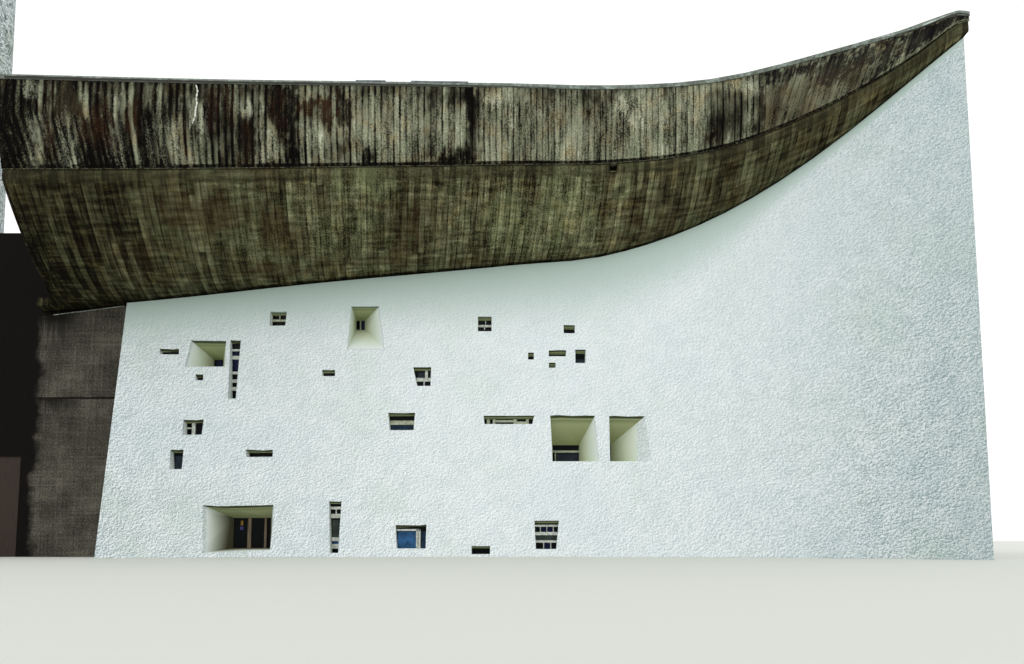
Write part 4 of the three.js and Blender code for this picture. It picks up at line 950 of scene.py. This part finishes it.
# Painted shadow along the roof's west edge and in a line under the joint, and painted shade along the top of
# the wall, go into the damp attribute together with the real damp.
painted_shadow_at_west_edge = np.clip(1.3 - from_west / 0.12, 0, 1) * 1.5
painted_shadow_under_joint = np.where(row == 0, 1.5, 0)
drain_x = (DRAIN_WEST + DRAIN_EAST) / 2
drain_dark = np.clip(1.6 - np.hypot((x - drain_x) / 0.13, below_joint / 0.3), 0, 1) * 1.5
painted_shade_at_wall = np.clip(1.2 - (wall_top_y(x) - y) / 0.12, 0, 1)
soaked = np.clip(end_damp + 0.15 * patch * (end_damp > 0), 0, 1)
damp = np.maximum.reduce([soaked, painted_shadow_at_west_edge, painted_shadow_under_joint, drain_dark, painted_shade_at_wall])
# A pale line 0.2 m in from the west edge, between y -9.6 and -8.
pale_line_near_west_edge = np.clip(1 - np.abs(from_west - 0.2) / 0.04, 0, 1) * ((y > -9.6) & (y < -8)) * 0.9
# The strip under the joint is smoother, and its darker colour is painted shade.
strip = np.clip((0.4 - below_joint) / 0.1 + 0.3 * patch, 0, 1)
paint_points(soffit, damp=damp, lime=np.maximum(algae, pale_line_near_west_edge), rust=rust, strip=strip, gaps=-0.5 * strip)

# The drain's notch stays open.
with edit_mode():
    bpy.ops.mesh.select_all(action="DESELECT")
    bpy.ops.mesh.select_mode(type="FACE")
for face in soffit.data.polygons:
    middle = face.center
    face.select = bool(DRAIN_WEST < middle.x < DRAIN_EAST and joint_z(middle.x) - middle.z < DRAIN_HEIGHT)
with edit_mode():
    bpy.ops.mesh.delete(type="FACE")
apply_modifier(soffit, "SOLIDIFY", thickness=SKIN, offset=-1)
soffit_concrete = board_marked(
    "damp board-marked soffit concrete", "planks", "plank_run", SOFFIT_PALETTE, SOFFIT_WEIGHTS,
    [("strip", -0.12, "#3a3928", 0.4), ("lime", 0.12, "#727c56", 0.3), ("rust", -0.08, "#43301f", 0.35),
     ("damp", -0.34, "#17130c", 0.25)], "gaps")
hand_over(soffit, soffit_concrete)


# Edge cap. A strip of coping mortar laid along the roof's rim, over the joint of band and upper
# shell. It is grey-green with damp, dull and blotched.
def mortar(name, stops):
    """Coping mortar: rough, blotched, with a little relief."""
    return blotched(name, 0.8, 0.5, {"Scale": 9, "Detail": 6, "Roughness": 0.65}, stops, (0.5, 0.01))


cap_mortar = mortar("grey-green coping mortar", [(0.3, "#3b413a"), (0.5, "#5b635a"), (0.7, "#7f897e")])[0]
coat(cap_mortar, "roof_edge_cap")

# South coping. A strip laid by hand along the south rim: thin and sooty to the west, where only its
# top edge is pale, and taller, patched and greener towards the prow.
COPING_ROWS, COPING_PROUD, COPING_SKIN = 12, 0.006, 0.012
COPING_START, COPING_LEAN, FOOT_WAVE = 0.12, 0.004, 0.008
coping_x = np.linspace(ROOF_CORNER_X + COPING_START, BAND_END, 640)
coping_wave = FOOT_WAVE * ragged(coping_x * 1.7, np.zeros_like(coping_x))
# How the strip turns over the rim, row by row, as distance in from its face and height over the rim.
coping_turn = np.array([(0.16, 0.002), (0.08, 0.003), (0.02, 0.003), (0.004, -0.006)])


def coping_fall(row):
    """Share of the way down the strip's face, past the rows that turn over the rim."""
    turned = len(coping_turn) - 1
    return np.clip((row - turned) / (COPING_ROWS - turned), 0, 1)


def coping_corner(column, row):
    x = coping_x[column]
    painted_shade_above_ledge, rise = [np.interp(row, range(len(coping_turn)), turn) for turn in coping_turn.T]
    fall = coping_fall(row)
    face = rim_y(x) - CAP_PROUD - COPING_PROUD
    y = face + np.where(fall > 0, 0, painted_shade_above_ledge)
    z = rim_z(x) + rise - fall * (CAP_HEIGHT - COPING_SKIN + coping_wave[column])
    return np.stack([x, y + COPING_LEAN * fall, z], axis=-1)


coping, column, row = lay_grid("south_coping", len(coping_x) - 1, COPING_ROWS, coping_corner)
x, fall = coping_x[column], coping_fall(row)
pale_part = np.interp(x, [-12.8, -4, 0, 3, 8, 12.2], [0.22, 0.35, 0.6, 0.9, 0.85, 0.5])
edge_fray = ragged(x * 2.2, fall * 0.5 + 9)
soot = np.clip((fall - pale_part) / 0.15 + 0.8 * edge_fray, 0, 1) * (row > 3)
white = np.clip(ragged(x * 1.4 + 70, fall * 0.6) * 1.6 - 0.1, 0, 1)
paint_points(coping, soot=soot, lime=white * np.interp(x, [-2, 2, 4, 12], [0, 0.4, 1, 1]))
apply_modifier(coping, "SOLIDIFY", thickness=COPING_SKIN, offset=-1)
south_mortar, add, fleck, paint = mortar(
    "patched grey-green mortar of the south rim", [(0.3, "#4a524a"), (0.5, "#6f7a71"), (0.7, "#97a198")])
for stain, colour in (("lime", "#b9c6bf"), ("soot", "#26231c")):
    amount = add("Attribute", out="Fac", attribute_name=stain)
    cover = add("MapRange", (weighed(add, 0, [(amount, 2), (fleck, 1.5)]), -0.6, 0.6))
    cover = add("Math", (cover, amount), operation="MULTIPLY", use_clamp=True)
    paint = add("Mix", {0: cover, 6: paint, 7: colour}, **RGBA)
surface(south_mortar, paint)
hand_over(coping, south_mortar)

# Flashings. Two lengths of sheet lead dressed over the coping and standing a little above it. Lead
# keeps a faint shine under its grey bloom, so they look smoother and bluer than the mortar.
FLASHINGS = {"west": (-4.35, -3.55), "east": (-2.85, -1.26)}
FLASHING_RISE, FLASHING_WIDTH, FLASHING_SHEET = 0.035, 0.2, 0.006
FLASHING_LAP = 0.012
dull_lead = blotched("dull lead sheet", 0.55, 0.5, {"Scale": 5, "Detail": 4},
                     [(0.3, "#4e565b"), (0.7, "#7d868a")], metal=0.6)[0]
for side, (west, east) in FLASHINGS.items():
    sheet_x = np.linspace(west, east, 13)

    def flashing_corner(column, row):
        x = sheet_x[column]
        y = rim_y(x) - CAP_PROUD - FLASHING_LAP + np.array([FLASHING_WIDTH, 0.02, 0, 0])[row]
        rises = [FLASHING_LAP, FLASHING_RISE, FLASHING_RISE - FLASHING_SHEET, -FLASHING_LAP]
        z = rim_z(x) + np.array(rises)[row]
        return np.stack([x, y, z], axis=-1)

    flashing = lay_grid(f"lead_flashing_{side}", len(sheet_x) - 1, 3, flashing_corner)[0]
    apply_modifier(flashing, "SOLIDIFY", thickness=FLASHING_SHEET, offset=-1)
    hand_over(flashing, dull_lead)


# Setting. A plain pale floor and an even pale sky, as in a studio, with one broad soft light from
# the front, high up and to the left.
FLOOR_SIZE, FLOOR_GAP = 600, 0.002
bpy.ops.object.select_all(action="DESELECT")
bpy.ops.mesh.primitive_plane_add(size=FLOOR_SIZE, location=(0, 0, -FLOOR_GAP))
ground = bpy.context.object
ground.name = ground.data.name = "studio_floor"
floor_paint, add, place = new_material("pale studio floor", 0.9)
shader = floor_paint.node_tree.nodes["Principled BSDF"]
shader.inputs["Base Color"].default_value = tint("#c9ccc4")
ground.data.materials.append(floor_paint)

world = bpy.data.worlds.new("studio sky")
world.use_nodes = True
bpy.context.scene.world = world
backdrop = world.node_tree.nodes["Background"]
backdrop.inputs["Color"].default_value = tint("#ffffff")
backdrop.inputs["Strength"].default_value = 1.12

sun = bpy.data.objects.new("soft key light", bpy.data.lights.new("soft key light", "SUN"))
sun.data.energy = 0.9
sun.data.angle = 1.0
sun.rotation_euler = (np.radians(50), 0, np.radians(-14))
bpy.context.scene.collection.objects.link(sun)

camera = bpy.data.objects.new("camera", bpy.data.cameras.new("camera"))
camera.data.lens = 24
camera.data.sensor_width = 36
camera.data.shift_y = 0.1506
camera.location = (0, -27, 0.5)
camera.rotation_euler = (np.radians(94.5), 0, 0)
bpy.context.scene.collection.objects.link(camera)
bpy.context.scene.camera = camera

# Colours are shown as they are, without a film look.
bpy.context.scene.view_settings.view_transform = "Standard"
